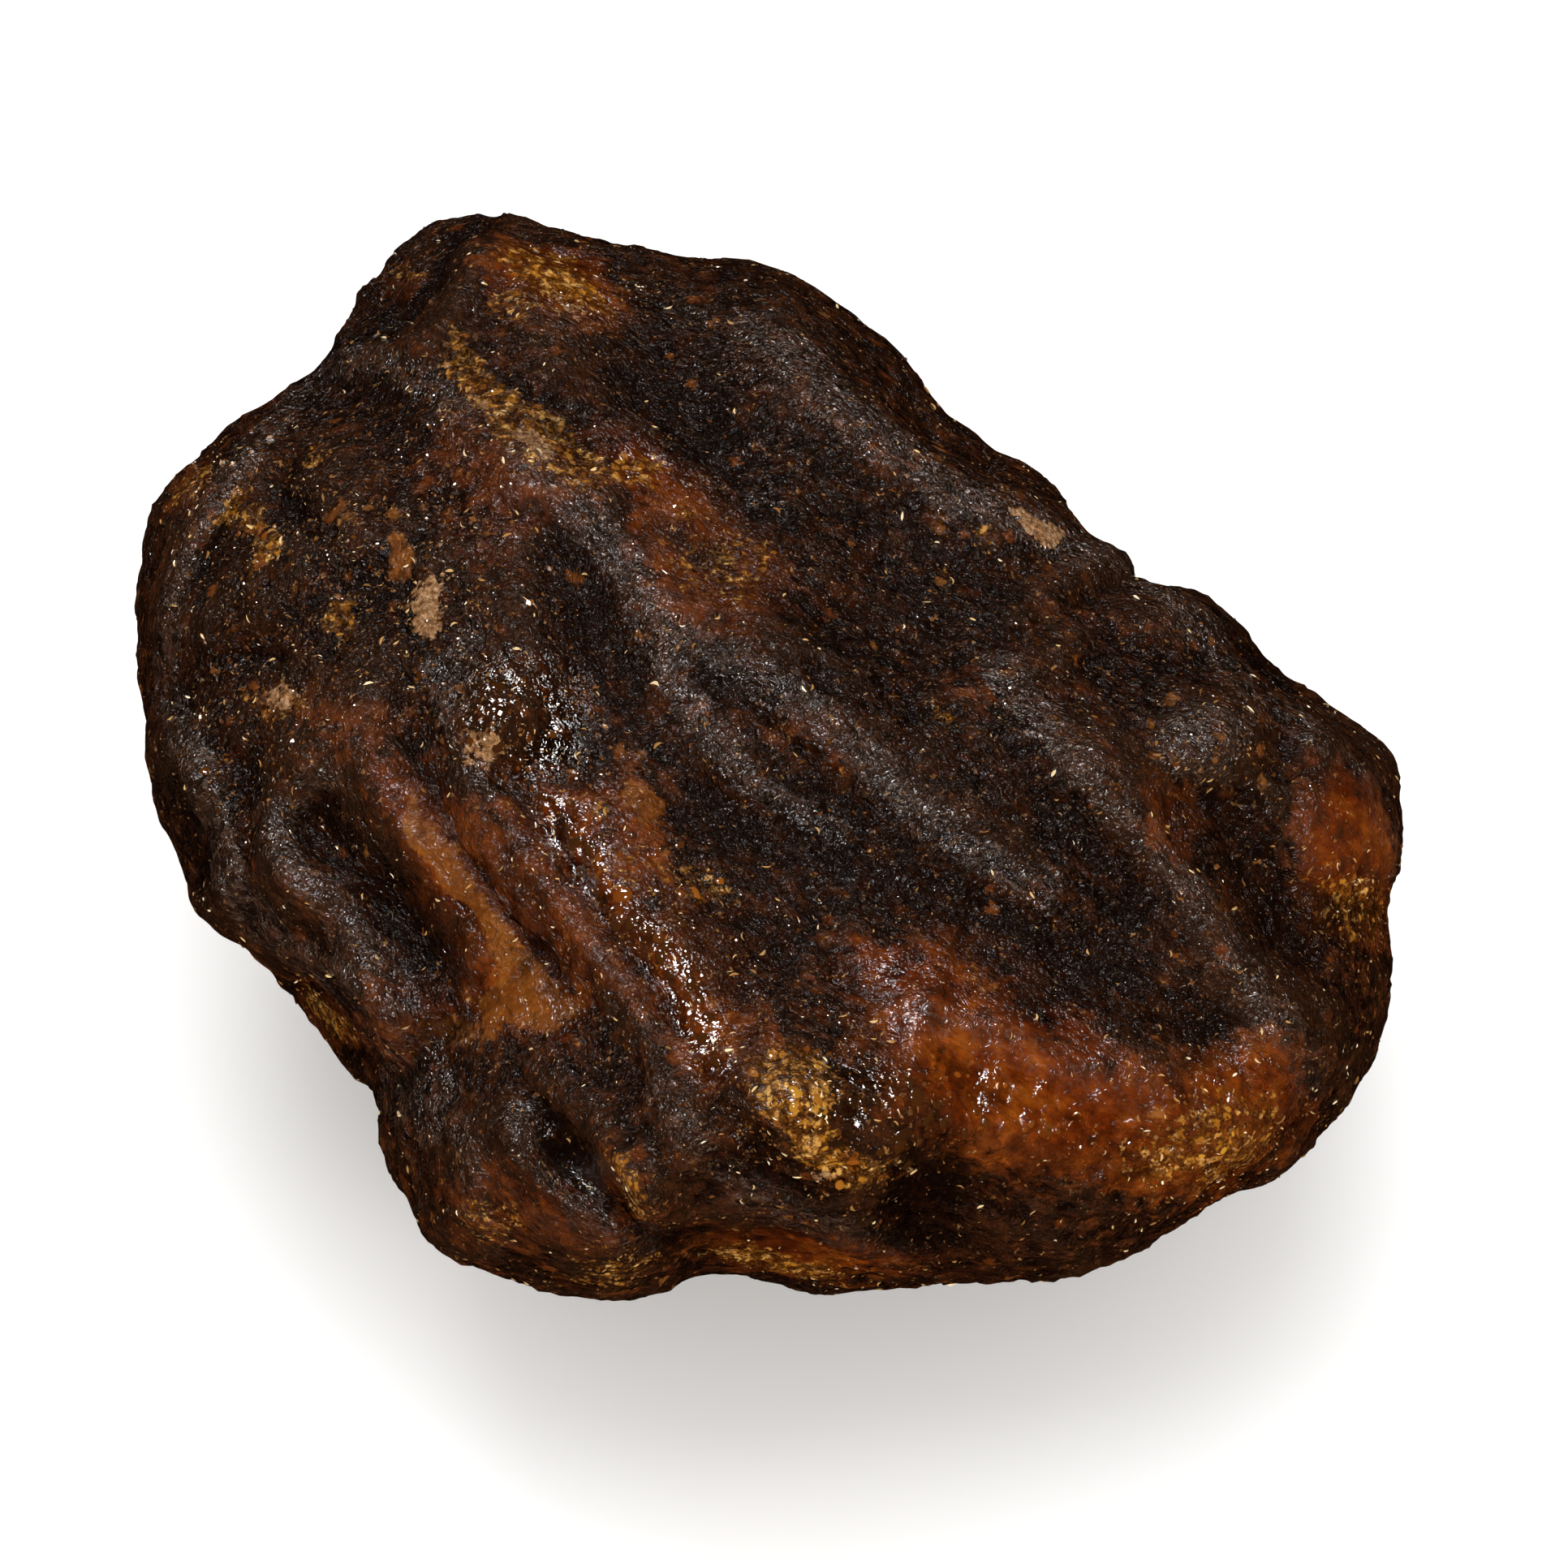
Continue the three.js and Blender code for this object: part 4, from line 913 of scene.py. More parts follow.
amber_mat, _, _ = material("raw_amber")
g = Graph(amber_mat)
coord = g.nodes.new("ShaderNodeTexCoord")
pos = g.scale(coord.outputs["Object"], 1000.0)  # millimetres
fib = g.attr("fibre", "Vector")
m = {k: g.attr("m_" + k) for k in M}

# slow, middle and fine variation, and one that follows the fibres
slow = g.noise(pos, 0.22, 2.0)
mid = g.noise(pos, 0.9, 3.0, 0.6)
fine = g.noise(pos, 3.2, 2.0, 0.6)
streak = g.noise(fib, 2.6, 3.0, 0.62)

# leathery creases and wrinkles along the flow
lea = g.nodes.new("ShaderNodeVectorMath")
lea.operation = "MULTIPLY"
g.put(lea.inputs[0], fib)
lea.inputs[1].default_value = (1.0, 2.3, 1.0)
lea = g.vadd(lea.outputs[0], g.scale(g.noise(pos, 1.6, 1.0, 0.6, out="Color"), 1.0))
wrinkles = g.noise(lea, 3.4, 2.0, 0.6)
thread = g.threads(lea, 1.5, 2.0, 0.55)
crease = g.span(thread, 0.05, 0.45)
fine_thread = g.threads(g.vadd(lea, (3.3, 8.1, 2.2)), 3.6, 1.0, 0.5)

# crust: near black to warm dark brown
crust = g.ramp(g.math("ADD", g.math("MULTIPLY", mid, 0.55), g.math("MULTIPLY", streak, 0.45)), [
    (0.32, rgb(0.0036, 0.0018, 0.0012)),
    (0.48, rgb(0.0120, 0.0050, 0.0026)),
    (0.58, rgb(0.0440, 0.0138, 0.0042)),
    (0.72, rgb(0.1400, 0.0470, 0.0105)),
])
# clear amber: deep red-brown to orange
resin = g.ramp(g.math("ADD", g.math("MULTIPLY", mid, 0.5), g.math("MULTIPLY", slow, 0.5)), [
    (0.34, rgb(0.0160, 0.0042, 0.0013)),
    (0.48, rgb(0.0720, 0.0176, 0.0028)),
    (0.60, rgb(0.1700, 0.0480, 0.0066)),
    (0.74, rgb(0.3200, 0.1120, 0.0150)),
])
glowing = g.ramp(g.math("ADD", g.math("MULTIPLY", mid, 0.6), g.math("MULTIPLY", slow, 0.4)), [
    (0.34, rgb(0.070, 0.0100, 0.0012)),
    (0.50, rgb(0.170, 0.0330, 0.0030)),
    (0.66, rgb(0.350, 0.1050, 0.0085)),
])
ochre = g.ramp(g.math("ADD", g.math("MULTIPLY", fine, 0.4), g.math("MULTIPLY", mid, 0.6)), [
    (0.34, rgb(0.0893, 0.0315, 0.0063)),
    (0.52, rgb(0.1785, 0.0693, 0.0115)),
    (0.70, rgb(0.2835, 0.1260, 0.0231)),
])
# grains lying side by side: each one has its own tone, with dark joints between them
bent = g.vadd(pos, g.scale(g.noise(pos, 3.0, 1.0, 0.65, out="Color"), 0.80))
heap, heap_sep = g.cell_pair(bent, 2.3)
joint = g.span(heap, 0.30, 0.62, 1.0, 0.0)
golden = g.blend(1.0, g.ramp(heap_sep.outputs[0], [
    (0.0, rgb(0.060, 0.0200, 0.0030)),
    (0.30, rgb(0.240, 0.1000, 0.0100)),
    (0.70, rgb(0.560, 0.3000, 0.0340)),
    (1.0, rgb(0.860, 0.6200, 0.2200)),
]), g.ramp(joint, [(0.0, rgb(0.18, 0.15, 0.13)), (1.0, rgb(1, 1, 1))]), "MULTIPLY")
cream_highlight_colour = g.ramp(fine, [
    (0.34, rgb(0.1360, 0.0723, 0.0340)),
    (0.52, rgb(0.3230, 0.2210, 0.1232)),
    (0.70, rgb(0.5440, 0.4335, 0.2890)),
])
# painted sheen: the grey of light glancing off the crests
grey_sheen_colour = g.ramp(streak, [
    (0.34, rgb(0.0120, 0.0090, 0.0082)),
    (0.52, rgb(0.0408, 0.0312, 0.0270)),
    (0.70, rgb(0.1080, 0.0876, 0.0744)),
])


def broken(mask, texture, amount, edge=0.12):
    """The mask with an edge broken up by a texture."""
    t = g.math("MULTIPLY_ADD", texture, amount, g.math("SUBTRACT", mask, 0.5 * amount))
    return g.span(t, 0.5 - edge, 0.5 + edge)


k_amber = broken(m["amber"], g.math("ADD", g.math("MULTIPLY", mid, 0.5), g.math("MULTIPLY", streak, 0.5)), 2.2, 0.22)
k_glow = g.math("MULTIPLY", m["glow"], g.span(mid, 0.30, 0.55))
speckle = g.noise(pos, 2.6, 2.0, 0.7)
k_gold = g.math("MULTIPLY", broken(m["gold"], g.math("ADD", g.math("MULTIPLY", mid, 0.3), g.math("MULTIPLY", speckle, 0.7)), 3.0, 0.22), 0.8)
k_ochre = broken(m["ochre"], g.math("ADD", g.math("MULTIPLY", mid, 0.5), g.math("MULTIPLY", fine, 0.5)), 1.2, 0.14)
k_cream_highlight = broken(m["cream_and_highlight"], speckle, 2.2, 0.18)
k_dark = broken(m["dark"], g.math("ADD", g.math("MULTIPLY", mid, 0.5), g.math("MULTIPLY", streak, 0.5)), 1.7, 0.3)
k_grey_sheen = broken(m["grey_sheen"], g.math("ADD", g.math("MULTIPLY", streak, 0.6), g.math("MULTIPLY", fine, 0.4)), 1.8, 0.3)

wrinkles_tint = g.noise(fib, 3.0, 2.0, 0.65)
colour = g.blend(k_amber, crust, resin)
colour = g.blend(k_glow, colour, glowing)
# dark crust; its line along the knob step is painted shade
colour = g.blend(g.math("MULTIPLY", k_dark, 0.85), colour, g.blend(1.0, crust, rgb(0.36, 0.34, 0.36), "MULTIPLY"))
# painted sheen, laid in grey along the crests
colour = g.blend(g.math("MULTIPLY", k_grey_sheen, 0.18), colour, grey_sheen_colour)
colour = g.blend(g.math("MULTIPLY", g.span(wrinkles_tint, 0.60, 0.35), 0.4), colour, g.blend(1.0, colour, rgb(0.30, 0.25, 0.22), "MULTIPLY"))
colour = g.blend(g.math("MULTIPLY", k_ochre, 0.85), colour, ochre)
# painted sheen: thin grey threads of light along the crests and wrinkles
painted_sheen_threads = g.math("MULTIPLY", g.span(fine_thread, 0.75, 1.30), g.span(thread, 0.35, 0.95, 0.25, 1.0))
colour = g.blend(g.math("MULTIPLY", painted_sheen_threads, g.span(k_grey_sheen, 0.0, 1.0, 0.15, 0.30)), colour, g.blend(k_grey_sheen, rgb(0.150, 0.085, 0.048), rgb(0.200, 0.180, 0.172)))
colour = g.blend(k_gold, colour, golden)
# pale cream: partly pale grains, partly painted highlight
colour = g.blend(k_cream_highlight, colour, cream_highlight_colour)
# painted shade in the creases and wrinkles
crease_shade = g.math("MULTIPLY", g.span(crease, 0.9, 0.1), g.span(wrinkles, 0.62, 0.42, 0.35, 1.0))
colour = g.blend(g.math("MULTIPLY", crease_shade, g.span(m["glow"], 0.0, 1.0, 0.75, 0.35)), colour, g.blend(1.0, colour, rgb(0.22, 0.17, 0.14), "MULTIPLY"))
# painted highlight: the wrinkle tops, which the bump raises, are lightened
colour = g.blend(g.math("MULTIPLY", g.span(wrinkles, 0.50, 0.72), 0.5), colour, g.blend(1.0, colour, rgb(1.9, 1.75, 1.65), "MULTIPLY"))
# crests paler, partly wear and partly painted sheen; hollows dark, painted shade
colour = g.blend(g.math("MULTIPLY", g.span(m["crest"], 0.2, 1.0), 0.10), colour, rgb(0.12, 0.065, 0.035))
colour = g.blend(g.math("MULTIPLY", g.span(m["crest"], 0.0, -0.8), g.span(m["glow"], 0.0, 1.0, 0.62, 0.30)), colour, rgb(0.005, 0.0022, 0.0012))

# specks: soft blobs of paler resin and small golden grains set in the crust
blob, blob_sep = g.cell_pair(bent, 0.95)
dot, dot_sep = g.cell_pair(g.vadd(bent, (3.1, 1.7, 5.3)), 2.7)
some_a = g.math("GREATER_THAN", g.math("ADD", blob_sep.outputs[0], g.math("MULTIPLY", m["grain"], 0.10)), 0.93)
some_b = g.math("GREATER_THAN", g.math("ADD", dot_sep.outputs[0], g.math("MULTIPLY", m["grain"], 0.30)), 0.92)
size_a = g.span(blob_sep.outputs[1], 0, 1, 0.16, 0.40, soft=False)
size_b = g.span(dot_sep.outputs[1], 0, 1, 0.12, 0.34, soft=False)
speck_a = g.math("MULTIPLY", some_a, g.span(g.math("SUBTRACT", blob, size_a), 0.10, -0.16))
speck_b = g.math("MULTIPLY", some_b, g.span(g.math("SUBTRACT", dot, size_b), 0.08, -0.12))
speck_tone_a = g.ramp(blob_sep.outputs[2], [(0.0, rgb(0.14, 0.036, 0.005)), (0.6, rgb(0.23, 0.080, 0.012)), (1.0, rgb(0.34, 0.17, 0.045))])
speck_tone_b = g.ramp(dot_sep.outputs[2], [(0.0, rgb(0.12, 0.036, 0.006)), (0.6, rgb(0.25, 0.105, 0.020)), (1.0, rgb(0.50, 0.32, 0.13))])
colour = g.blend(g.math("MULTIPLY", speck_a, 0.6), colour, speck_tone_a)
colour = g.blend(g.math("MULTIPLY", speck_b, 0.65), colour, speck_tone_b)

# the whole crust is a little deeper in tone than its parts
colour = g.blend(1.0, colour, rgb(0.66, 0.49, 0.37), "MULTIPLY")

# clearness: where resin shows, and not over sand or dirt
veil = g.math("MAXIMUM", g.math("MAXIMUM", k_cream_highlight, g.math("MAXIMUM", k_ochre, g.math("MULTIPLY", k_gold, 0.75))), g.math("MULTIPLY", k_grey_sheen, 0.6))
veil = g.math("MAXIMUM", veil, g.math("MAXIMUM", speck_a, speck_b))
clear = g.math("MULTIPLY", g.math("MAXIMUM", g.math("MULTIPLY", k_amber, 0.10), g.math("MULTIPLY", k_glow, 0.30)), g.math("SUBTRACT", 1.0, veil))
clear = g.math("MULTIPLY", clear, g.span(g.math("MULTIPLY", k_dark, 1.0), 1.0, 0.2, 0.25, 1.0))

# relief too fine for the mesh: leathery creases along the flow, fine wrinkles, sand-like beads (in mm)
grit = g.noise(pos, 8.0, 1.0, 0.6)
leather = g.math("MULTIPLY_ADD", fine_thread, 0.060, g.math("MULTIPLY", thread, 0.105))
h = g.math("MULTIPLY_ADD", wrinkles, 0.17, leather)
h = g.math("MULTIPLY_ADD", grit, 0.045, h)
h = g.math("MULTIPLY_ADD", g.math("MULTIPLY", m["gold"], joint), 0.05, h)
h = g.math("MULTIPLY", h, g.span(g.math("MAXIMUM", m["glow"], g.math("MULTIPLY", m["wet"], 1.0)), 0.0, 1.0, 1.0, 0.22))
# wet resin stands in drops
drop_a = g.cells(g.vadd(pos, g.scale(lea, 0.2)), 1.3)
drops = g.math("SUBTRACT", 1.0, g.math("MULTIPLY", drop_a, drop_a))
h = g.math("MULTIPLY_ADD", g.math("MULTIPLY", drops, g.span(m["wet"], 0.25, 0.8)), 0.26, h)
normal = g.bump(h, 0.001, 1.0)

# finish: dull on grey crust, wet where the resin is bare
rough = g.span(fine, 0.3, 0.7, 0.13, 0.26)
rough = g.math("SUBTRACT", rough, g.math("MULTIPLY", g.math("MAXIMUM", m["wet"], g.math("MULTIPLY", k_glow, 0.6)), 0.22))
rough = g.math("MAXIMUM", rough, 0.06)

shader = g.nodes.new("ShaderNodeBsdfPrincipled")
g.put(shader.inputs["Base Color"], colour)
g.put(shader.inputs["Roughness"], rough)
g.put(shader.inputs["Normal"], normal)
g.put(shader.inputs["Transmission Weight"], clear)
shader.inputs["IOR"].default_value = 1.54
shader.inputs["Specular IOR Level"].default_value = 0.06
g.put(shader.inputs["Coat Normal"], normal)
glint = g.span(grit, 0.635, 0.70)
g.put(shader.inputs["Coat Weight"], g.math("MAXIMUM", m["wet"], g.math("MAXIMUM", g.math("MULTIPLY", k_glow, 0.4), g.math("MAXIMUM", g.math("MULTIPLY", glint, 0.7), g.math("MULTIPLY", k_grey_sheen, 0.45)))))
shader.inputs["Coat Roughness"].default_value = 0.05
depth = g.nodes.new("ShaderNodeVolumeAbsorption")
depth.inputs["Color"].default_value = (1.0, 0.50, 0.09, 1.0)
depth.inputs["Density"].default_value = 140.0
out = g.nodes.new("ShaderNodeOutputMaterial")
g.links.new(shader.outputs[0], out.inputs["Surface"])
g.links.new(depth.outputs[0], out.inputs["Volume"])
nugget.data.materials.append(amber_mat)

# ------------------------------------------------------------------ sand grains set in the crust
rng = np.random.default_rng(20)
mesh = nugget.data
nv2 = len(mesh.vertices)
co = np.empty(nv2 * 3)
mesh.vertices.foreach_get("co", co)
co = co.reshape(-1, 3) / MM
mesh.calc_loop_triangles()
lt = np.empty(len(mesh.loop_triangles) * 3, int)
mesh.loop_triangles.foreach_get("vertices", lt)
lt = lt.reshape(-1, 3)


def point_values(name):
    v = np.empty(nv2)
    mesh.attributes["m_" + name].data.foreach_get("value", v)
    return v


grain_w, gold_w, cream_highlight_w, wet_w = (point_values(k) for k in ("grain", "gold", "cream_and_highlight", "wet"))
a, b, c = co[lt[:, 0]], co[lt[:, 1]], co[lt[:, 2]]
tri_n = np.cross(b - a, c - a)
area = np.linalg.norm(tri_n, axis=1) / 2
tri_n /= np.maximum(2 * area[:, None], 1e-12)
density = 0.05 + 1.0 * grain_w[lt].mean(1) + 0.9 * gold_w[lt].mean(1) + 0.8 * cream_highlight_w[lt].mean(1)
density[co[lt][:, :, 2].mean(1) < 0.6] = 0
prob = area * density
prob /= prob.sum()
COUNT = 5200
pick = rng.choice(len(lt), COUNT, p=prob)
r1, r2 = rng.random(COUNT), rng.random(COUNT)
flip = r1 + r2 > 1
r1[flip], r2[flip] = 1 - r1[flip], 1 - r2[flip]
centre = a[pick] + (b - a)[pick] * r1[:, None] + (c - a)[pick] * r2[:, None]
out_n = tri_n[pick]
radius = np.clip(np.exp(rng.normal(math.log(0.062), 0.45, COUNT)), 0.03, 0.30)

ico = bmesh.new()
bmesh.ops.create_icosphere(ico, subdivisions=1, radius=1.0)
ico.verts.ensure_lookup_table()
base_v = np.array([v.co for v in ico.verts])
base_t = np.array([[v.index for v in f.verts] for f in ico.faces])
ico.free()
k = len(base_v)
axis = rng.normal(size=(COUNT, 3))
axis /= np.linalg.norm(axis, axis=1, keepdims=True)
turn = rng.random(COUNT) * 2 * math.pi
K = np.zeros((COUNT, 3, 3))
K[:, 0, 1], K[:, 0, 2], K[:, 1, 2] = -axis[:, 2], axis[:, 1], -axis[:, 0]
K[:, 1, 0], K[:, 2, 0], K[:, 2, 1] = axis[:, 2], -axis[:, 1], axis[:, 0]
R = np.eye(3) + np.sin(turn)[:, None, None] * K + (1 - np.cos(turn))[:, None, None] * (K @ K)
shape = base_v[None] * (1 + 0.22 * rng.normal(size=(COUNT, k, 1)).clip(-1.6, 1.6)) * rng.uniform(0.7, 1.25, (COUNT, 1, 3))
pts = np.einsum("nij,nkj->nki", R, shape) * radius[:, None, None] + (centre - out_n * radius[:, None] * rng.uniform(0.1, 0.55, (COUNT, 1)))[:, None, :]
pts[:, :, 2] = np.maximum(pts[:, :, 2], 0.02)
gv = pts.reshape(-1, 3)
gt = (base_t[None] + (np.arange(COUNT) * k)[:, None, None]).reshape(-1, 3)
tone = rng.random(COUNT)
near_gold = gold_w[lt[pick]].mean(1)
near_cream_highlight = cream_highlight_w[lt[pick]].mean(1)
tone = np.clip(tone * 0.75 + 0.25 * near_cream_highlight + 0.1 * near_gold, 0, 1)
gm = bpy.data.meshes.new("sand_grains")
gm.vertices.add(len(gv))
gm.vertices.foreach_set("co", (gv * MM).ravel())
gm.loops.add(len(gt) * 3)
gm.loops.foreach_set("vertex_index", gt.ravel())
gm.polygons.add(len(gt))
gm.polygons.foreach_set("loop_start", np.arange(0, len(gt) * 3, 3))
gm.polygons.foreach_set("use_smooth", np.zeros(len(gt), bool))
gm.update(calc_edges=True)
gm.attributes.new("tone", "FLOAT", "POINT").data.foreach_set("value", np.repeat(tone, k).astype(np.float32))
grains = bpy.data.objects.new("sand_grains", gm)
bpy.context.collection.objects.link(grains)

sand_mat, _, _ = material("sand")
g = Graph(sand_mat)
coord = g.nodes.new("ShaderNodeTexCoord")
pos = g.scale(coord.outputs["Object"], 1000.0)
tone_c = g.ramp(g.attr("tone"), [
    (0.0, rgb(0.030, 0.0095, 0.0025)),
    (0.45, rgb(0.100, 0.0340, 0.0060)),
    (0.80, rgb(0.220, 0.0950, 0.0190)),
    (0.95, rgb(0.400, 0.2300, 0.0800)),
    (1.0, rgb(0.640, 0.4900, 0.3000)),
])
stain = g.noise(pos, 6.0, 2.0)
sand_c = g.blend(g.span(stain, 0.4, 0.7, 0.0, 0.6), tone_c, rgb(0.16, 0.06, 0.015))
shader = g.nodes.new("ShaderNodeBsdfPrincipled")
g.put(shader.inputs["Base Color"], sand_c)
g.put(shader.inputs["Roughness"], g.span(stain, 0.3, 0.7, 0.08, 0.30))
shader.inputs["IOR"].default_value = 1.54
shader.inputs["Coat Weight"].default_value = 0.5
shader.inputs["Coat Roughness"].default_value = 0.06
out = g.nodes.new("ShaderNodeOutputMaterial")
g.links.new(shader.outputs[0], out.inputs["Surface"])
grains.data.materials.append(sand_mat)

# ------------------------------------------------------------------ golden flecks, thin slivers lying in the crust
FLECKS = 4600
fleck_w = 0.35 + 0.9 * grain_w[lt].mean(1) + 0.5 * gold_w[lt].mean(1)
fleck_w[co[lt][:, :, 2].mean(1) < 0.6] = 0
prob = area * fleck_w
pick = rng.choice(len(lt), FLECKS, p=prob / prob.sum())
r1, r2 = rng.random(FLECKS), rng.random(FLECKS)
flip = r1 + r2 > 1
r1[flip], r2[flip] = 1 - r1[flip], 1 - r2[flip]
at = a[pick] + (b - a)[pick] * r1[:, None] + (c - a)[pick] * r2[:, None]
nn = tri_n[pick]
side = np.cross(nn, rng.normal(size=(FLECKS, 3)))
side /= np.linalg.norm(side, axis=1, keepdims=True)
ahead = np.cross(nn, side)
long_ = np.clip(np.exp(rng.normal(math.log(0.085), 0.55, FLECKS)), 0.035, 0.24)
wide = long_ * rng.uniform(0.20, 0.85, FLECKS)
arc = rng.uniform(-0.5, 0.5, FLECKS)
# a bent sliver: a closed strip of four sections, three corners each
T = np.array([-1.0, -0.35, 0.35, 1.0])
W = np.array([0.25, 1.0, 0.9, 0.2])
corners = []
for t, w in zip(T, W):
    for sx, up in ((-1.0, 0.0), (1.0, 0.0), (0.0, 1.0)):
        x = long_ * t
        y = wide * w * sx * 0.5 + arc * long_ * t * t
        z = wide * (0.55 * up * w - 0.12) + 0.010
        corners.append(at + ahead * x[:, None] + side * y[:, None] + nn * z[:, None])
fv = np.stack(corners, 1)
fv[:, :, 2] = np.maximum(fv[:, :, 2], 0.02)
strip = [[0, 2, 1], [9, 10, 11]]
for q in range(3):
    o, n1 = 3 * q, 3 * q + 3
    for e, f in ((0, 1), (1, 2), (2, 0)):
        strip += [[o + e, o + f, n1 + f], [o + e, n1 + f, n1 + e]]
strip = np.array(strip)
ft = (strip[None] + (np.arange(FLECKS) * 12)[:, None, None]).reshape(-1, 3)
fm = bpy.data.meshes.new("gold_flecks")
fm.vertices.add(FLECKS * 12)
fm.vertices.foreach_set("co", (fv * MM).ravel())
fm.loops.add(len(ft) * 3)
fm.loops.foreach_set("vertex_index", ft.ravel())
fm.polygons.add(len(ft))
fm.polygons.foreach_set("loop_start", np.arange(0, len(ft) * 3, 3))
fm.polygons.foreach_set("use_smooth", np.zeros(len(ft), bool))
fm.update(calc_edges=True)
fm.attributes.new("tone", "FLOAT", "POINT").data.foreach_set("value", np.repeat(rng.random(FLECKS), 12).astype(np.float32))
flecks = bpy.data.objects.new("gold_flecks", fm)
bpy.context.collection.objects.link(flecks)
fleck_mat, _, _ = material("fleck")
g = Graph(fleck_mat)
shader = g.nodes.new("ShaderNodeBsdfPrincipled")
g.put(shader.inputs["Base Color"], g.ramp(g.attr("tone"), [
    (0.0, rgb(0.150, 0.058, 0.012)),
    (0.45, rgb(0.360, 0.180, 0.048)),
    (0.80, rgb(0.640, 0.420, 0.180)),
    (1.0, rgb(0.900, 0.740, 0.500)),
]))
shader.inputs["Roughness"].default_value = 0.22
shader.inputs["IOR"].default_value = 1.54
out = g.nodes.new("ShaderNodeOutputMaterial")
g.links.new(shader.outputs[0], out.inputs["Surface"])
flecks.data.materials.append(fleck_mat)

# ------------------------------------------------------------------ wet drops of clear resin, which catch the light
# (u, v, radius) of the big ones on the broad face; the rest lie at random where the crust is wet or sandy
DROPS = [
    (3.3, -15.4, 0.35),
    (3.8, -15.5, 0.23),
    (4.4, -15.3, 0.27),
    (6, -14.6, 0.31),
    (6.3, -15.2, 0.42),
    (7.1, -15.5, 0.23),
    (6.6, -16.2, 0.31),
    (6.9, -16.3, 0.27),
    (7.6, -16.3, 0.23),
    (5.4, -16.9, 0.5),
    (5.4, -17.3, 0.42),
    (5.7, -18.3, 0.31),
    (4.2, -17.6, 0.23),
    (4.5, -17.6, 0.27),
    (6.5, -17, 0.23),
    (9.1, -16.4, 0.23),
    (9.3, -16.7, 0.23),
    (8.3, -16.9, 0.19),
    (8.8, -16, 0.19),
    (12.2, -16.7, 0.23),
    (12.2, -17.1, 0.23),
    (11.8, -16.5, 0.15),
    (11.3, -16.5, 0.19),
    (10.2, -14.7, 0.19),
    (8, -14.4, 0.19),
    (3.8, -13.9, 0.23),
    (3.7, -13.2, 0.23),
    (3, -12.6, 0.23),
    (2.7, -12.1, 0.19),
    (2.3, -11.7, 0.19),
    (1.7, -11, 0.19),
    (1.1, -13.1, 0.23),
    (1.9, -13.7, 0.19),
    (0.7, -15.5, 0.27),
    (0.5, -14.8, 0.23),
    (-0, -19.7, 0.19),
    (3.5, -19.5, 0.23),
    (6.2, -19.1, 0.19),
    (-12.9, 3.1, 0.35),
    (-13.3, 2.2, 0.31),
    (-13, 2, 0.35),
    (-12.7, 1.8, 0.31),
    (-14.2, 0.7, 0.27),
    (-14.5, 1.6, 0.23),
    (-13.8, 2.2, 0.23),
    (-14, 4.3, 0.19),
    (-11.4, 2, 0.19),
    (-11.2, 0.7, 0.19),
    (-10.3, 0.7, 0.23),
    (-12.2, -0.2, 0.23),
    (-11.2, -0.7, 0.19),
    (-12.8, -1.3, 0.19),
    (-9.4, -3.7, 0.23),
    (-9.2, -4.2, 0.39),
    (-8.9, -4.3, 0.27),
    (-8.4, -4.4, 0.23),
    (-8, -4.6, 0.23),
    (-8.7, -5.2, 0.27),
    (-8.3, -6.1, 0.31),
    (-7.3, -6.1, 0.27),
    (-6.9, -6.5, 0.46),
    (-7.3, -7.8, 0.31),
    (-6.7, -7.7, 0.31),
    (-6.3, -7.5, 0.27),
    (-5.7, -7.8, 0.31),
    (-5.3, -8.2, 0.31),
    (-4.9, -8.6, 0.27),
    (-6.1, -8, 0.31),
    (-4.6, -4.1, 0.23),
    (-3.8, -6.2, 0.27),
    (-8.1, -2.8, 0.19),
    (-6.6, -3.7, 0.23),
    (-2.8, -5.8, 0.23),
    (-0.1, -7, 0.19),
    (-8.9, -2.5, 0.19),
    (-4.4, -7.8, 0.23),
    (-5.3, -9.1, 0.35),
    (-3.8, -10.3, 0.35),
    (-3.3, -11.7, 0.35),
    (-4, -9.7, 0.31),
    (-3.5, -12.8, 0.35),
    (-3, -13.8, 0.31),
    (-4.2, -9.1, 0.27),
    (-3.6, -11, 0.31),
]
mesh = nugget.data
vn = np.empty(nv2 * 3)
mesh.vertex_normals.foreach_get("vector", vn)
vn = vn.reshape(-1, 3)
fc = to_face(co - SHIFT)
spots, norms, sizes = [], [], []
outward = vn @ FACE_TO_PART[:, 2] > 0.1
for du, dv, dr in DROPS:
    d2 = (fc[:, 0] - du) ** 2 + (fc[:, 1] - dv) ** 2 + np.where(outward, 0.0, 1e3)
    i = int(np.argmin(d2))
    spots.append(co[i]), norms.append(vn[i]), sizes.append(dr)
LOOSE = 620
loose_w = 0.03 + 1.6 * wet_w[lt].mean(1) ** 2 + 0.45 * grain_w[lt].mean(1)
loose_w[co[lt][:, :, 2].mean(1) < 0.6] = 0
prob = area * loose_w
pick = rng.choice(len(lt), LOOSE, p=prob / prob.sum())
drop_at = np.concatenate([np.array(spots), co[lt[pick]].mean(1)])
drop_n = np.concatenate([np.array(norms), tri_n[pick]])
drop_r = np.concatenate([np.array(sizes), np.clip(np.exp(rng.normal(math.log(0.15), 0.35, LOOSE)), 0.07, 0.34)])
n_drops = len(drop_r)
ico = bmesh.new()
bmesh.ops.create_icosphere(ico, subdivisions=2, radius=1.0)
ico.verts.ensure_lookup_table()
ball_v = np.array([v.co for v in ico.verts])
ball_t = np.array([[v.index for v in f.verts] for f in ico.faces])
ico.free()
kb = len(ball_v)
ax = np.cross(drop_n, rng.normal(size=(n_drops, 3)))
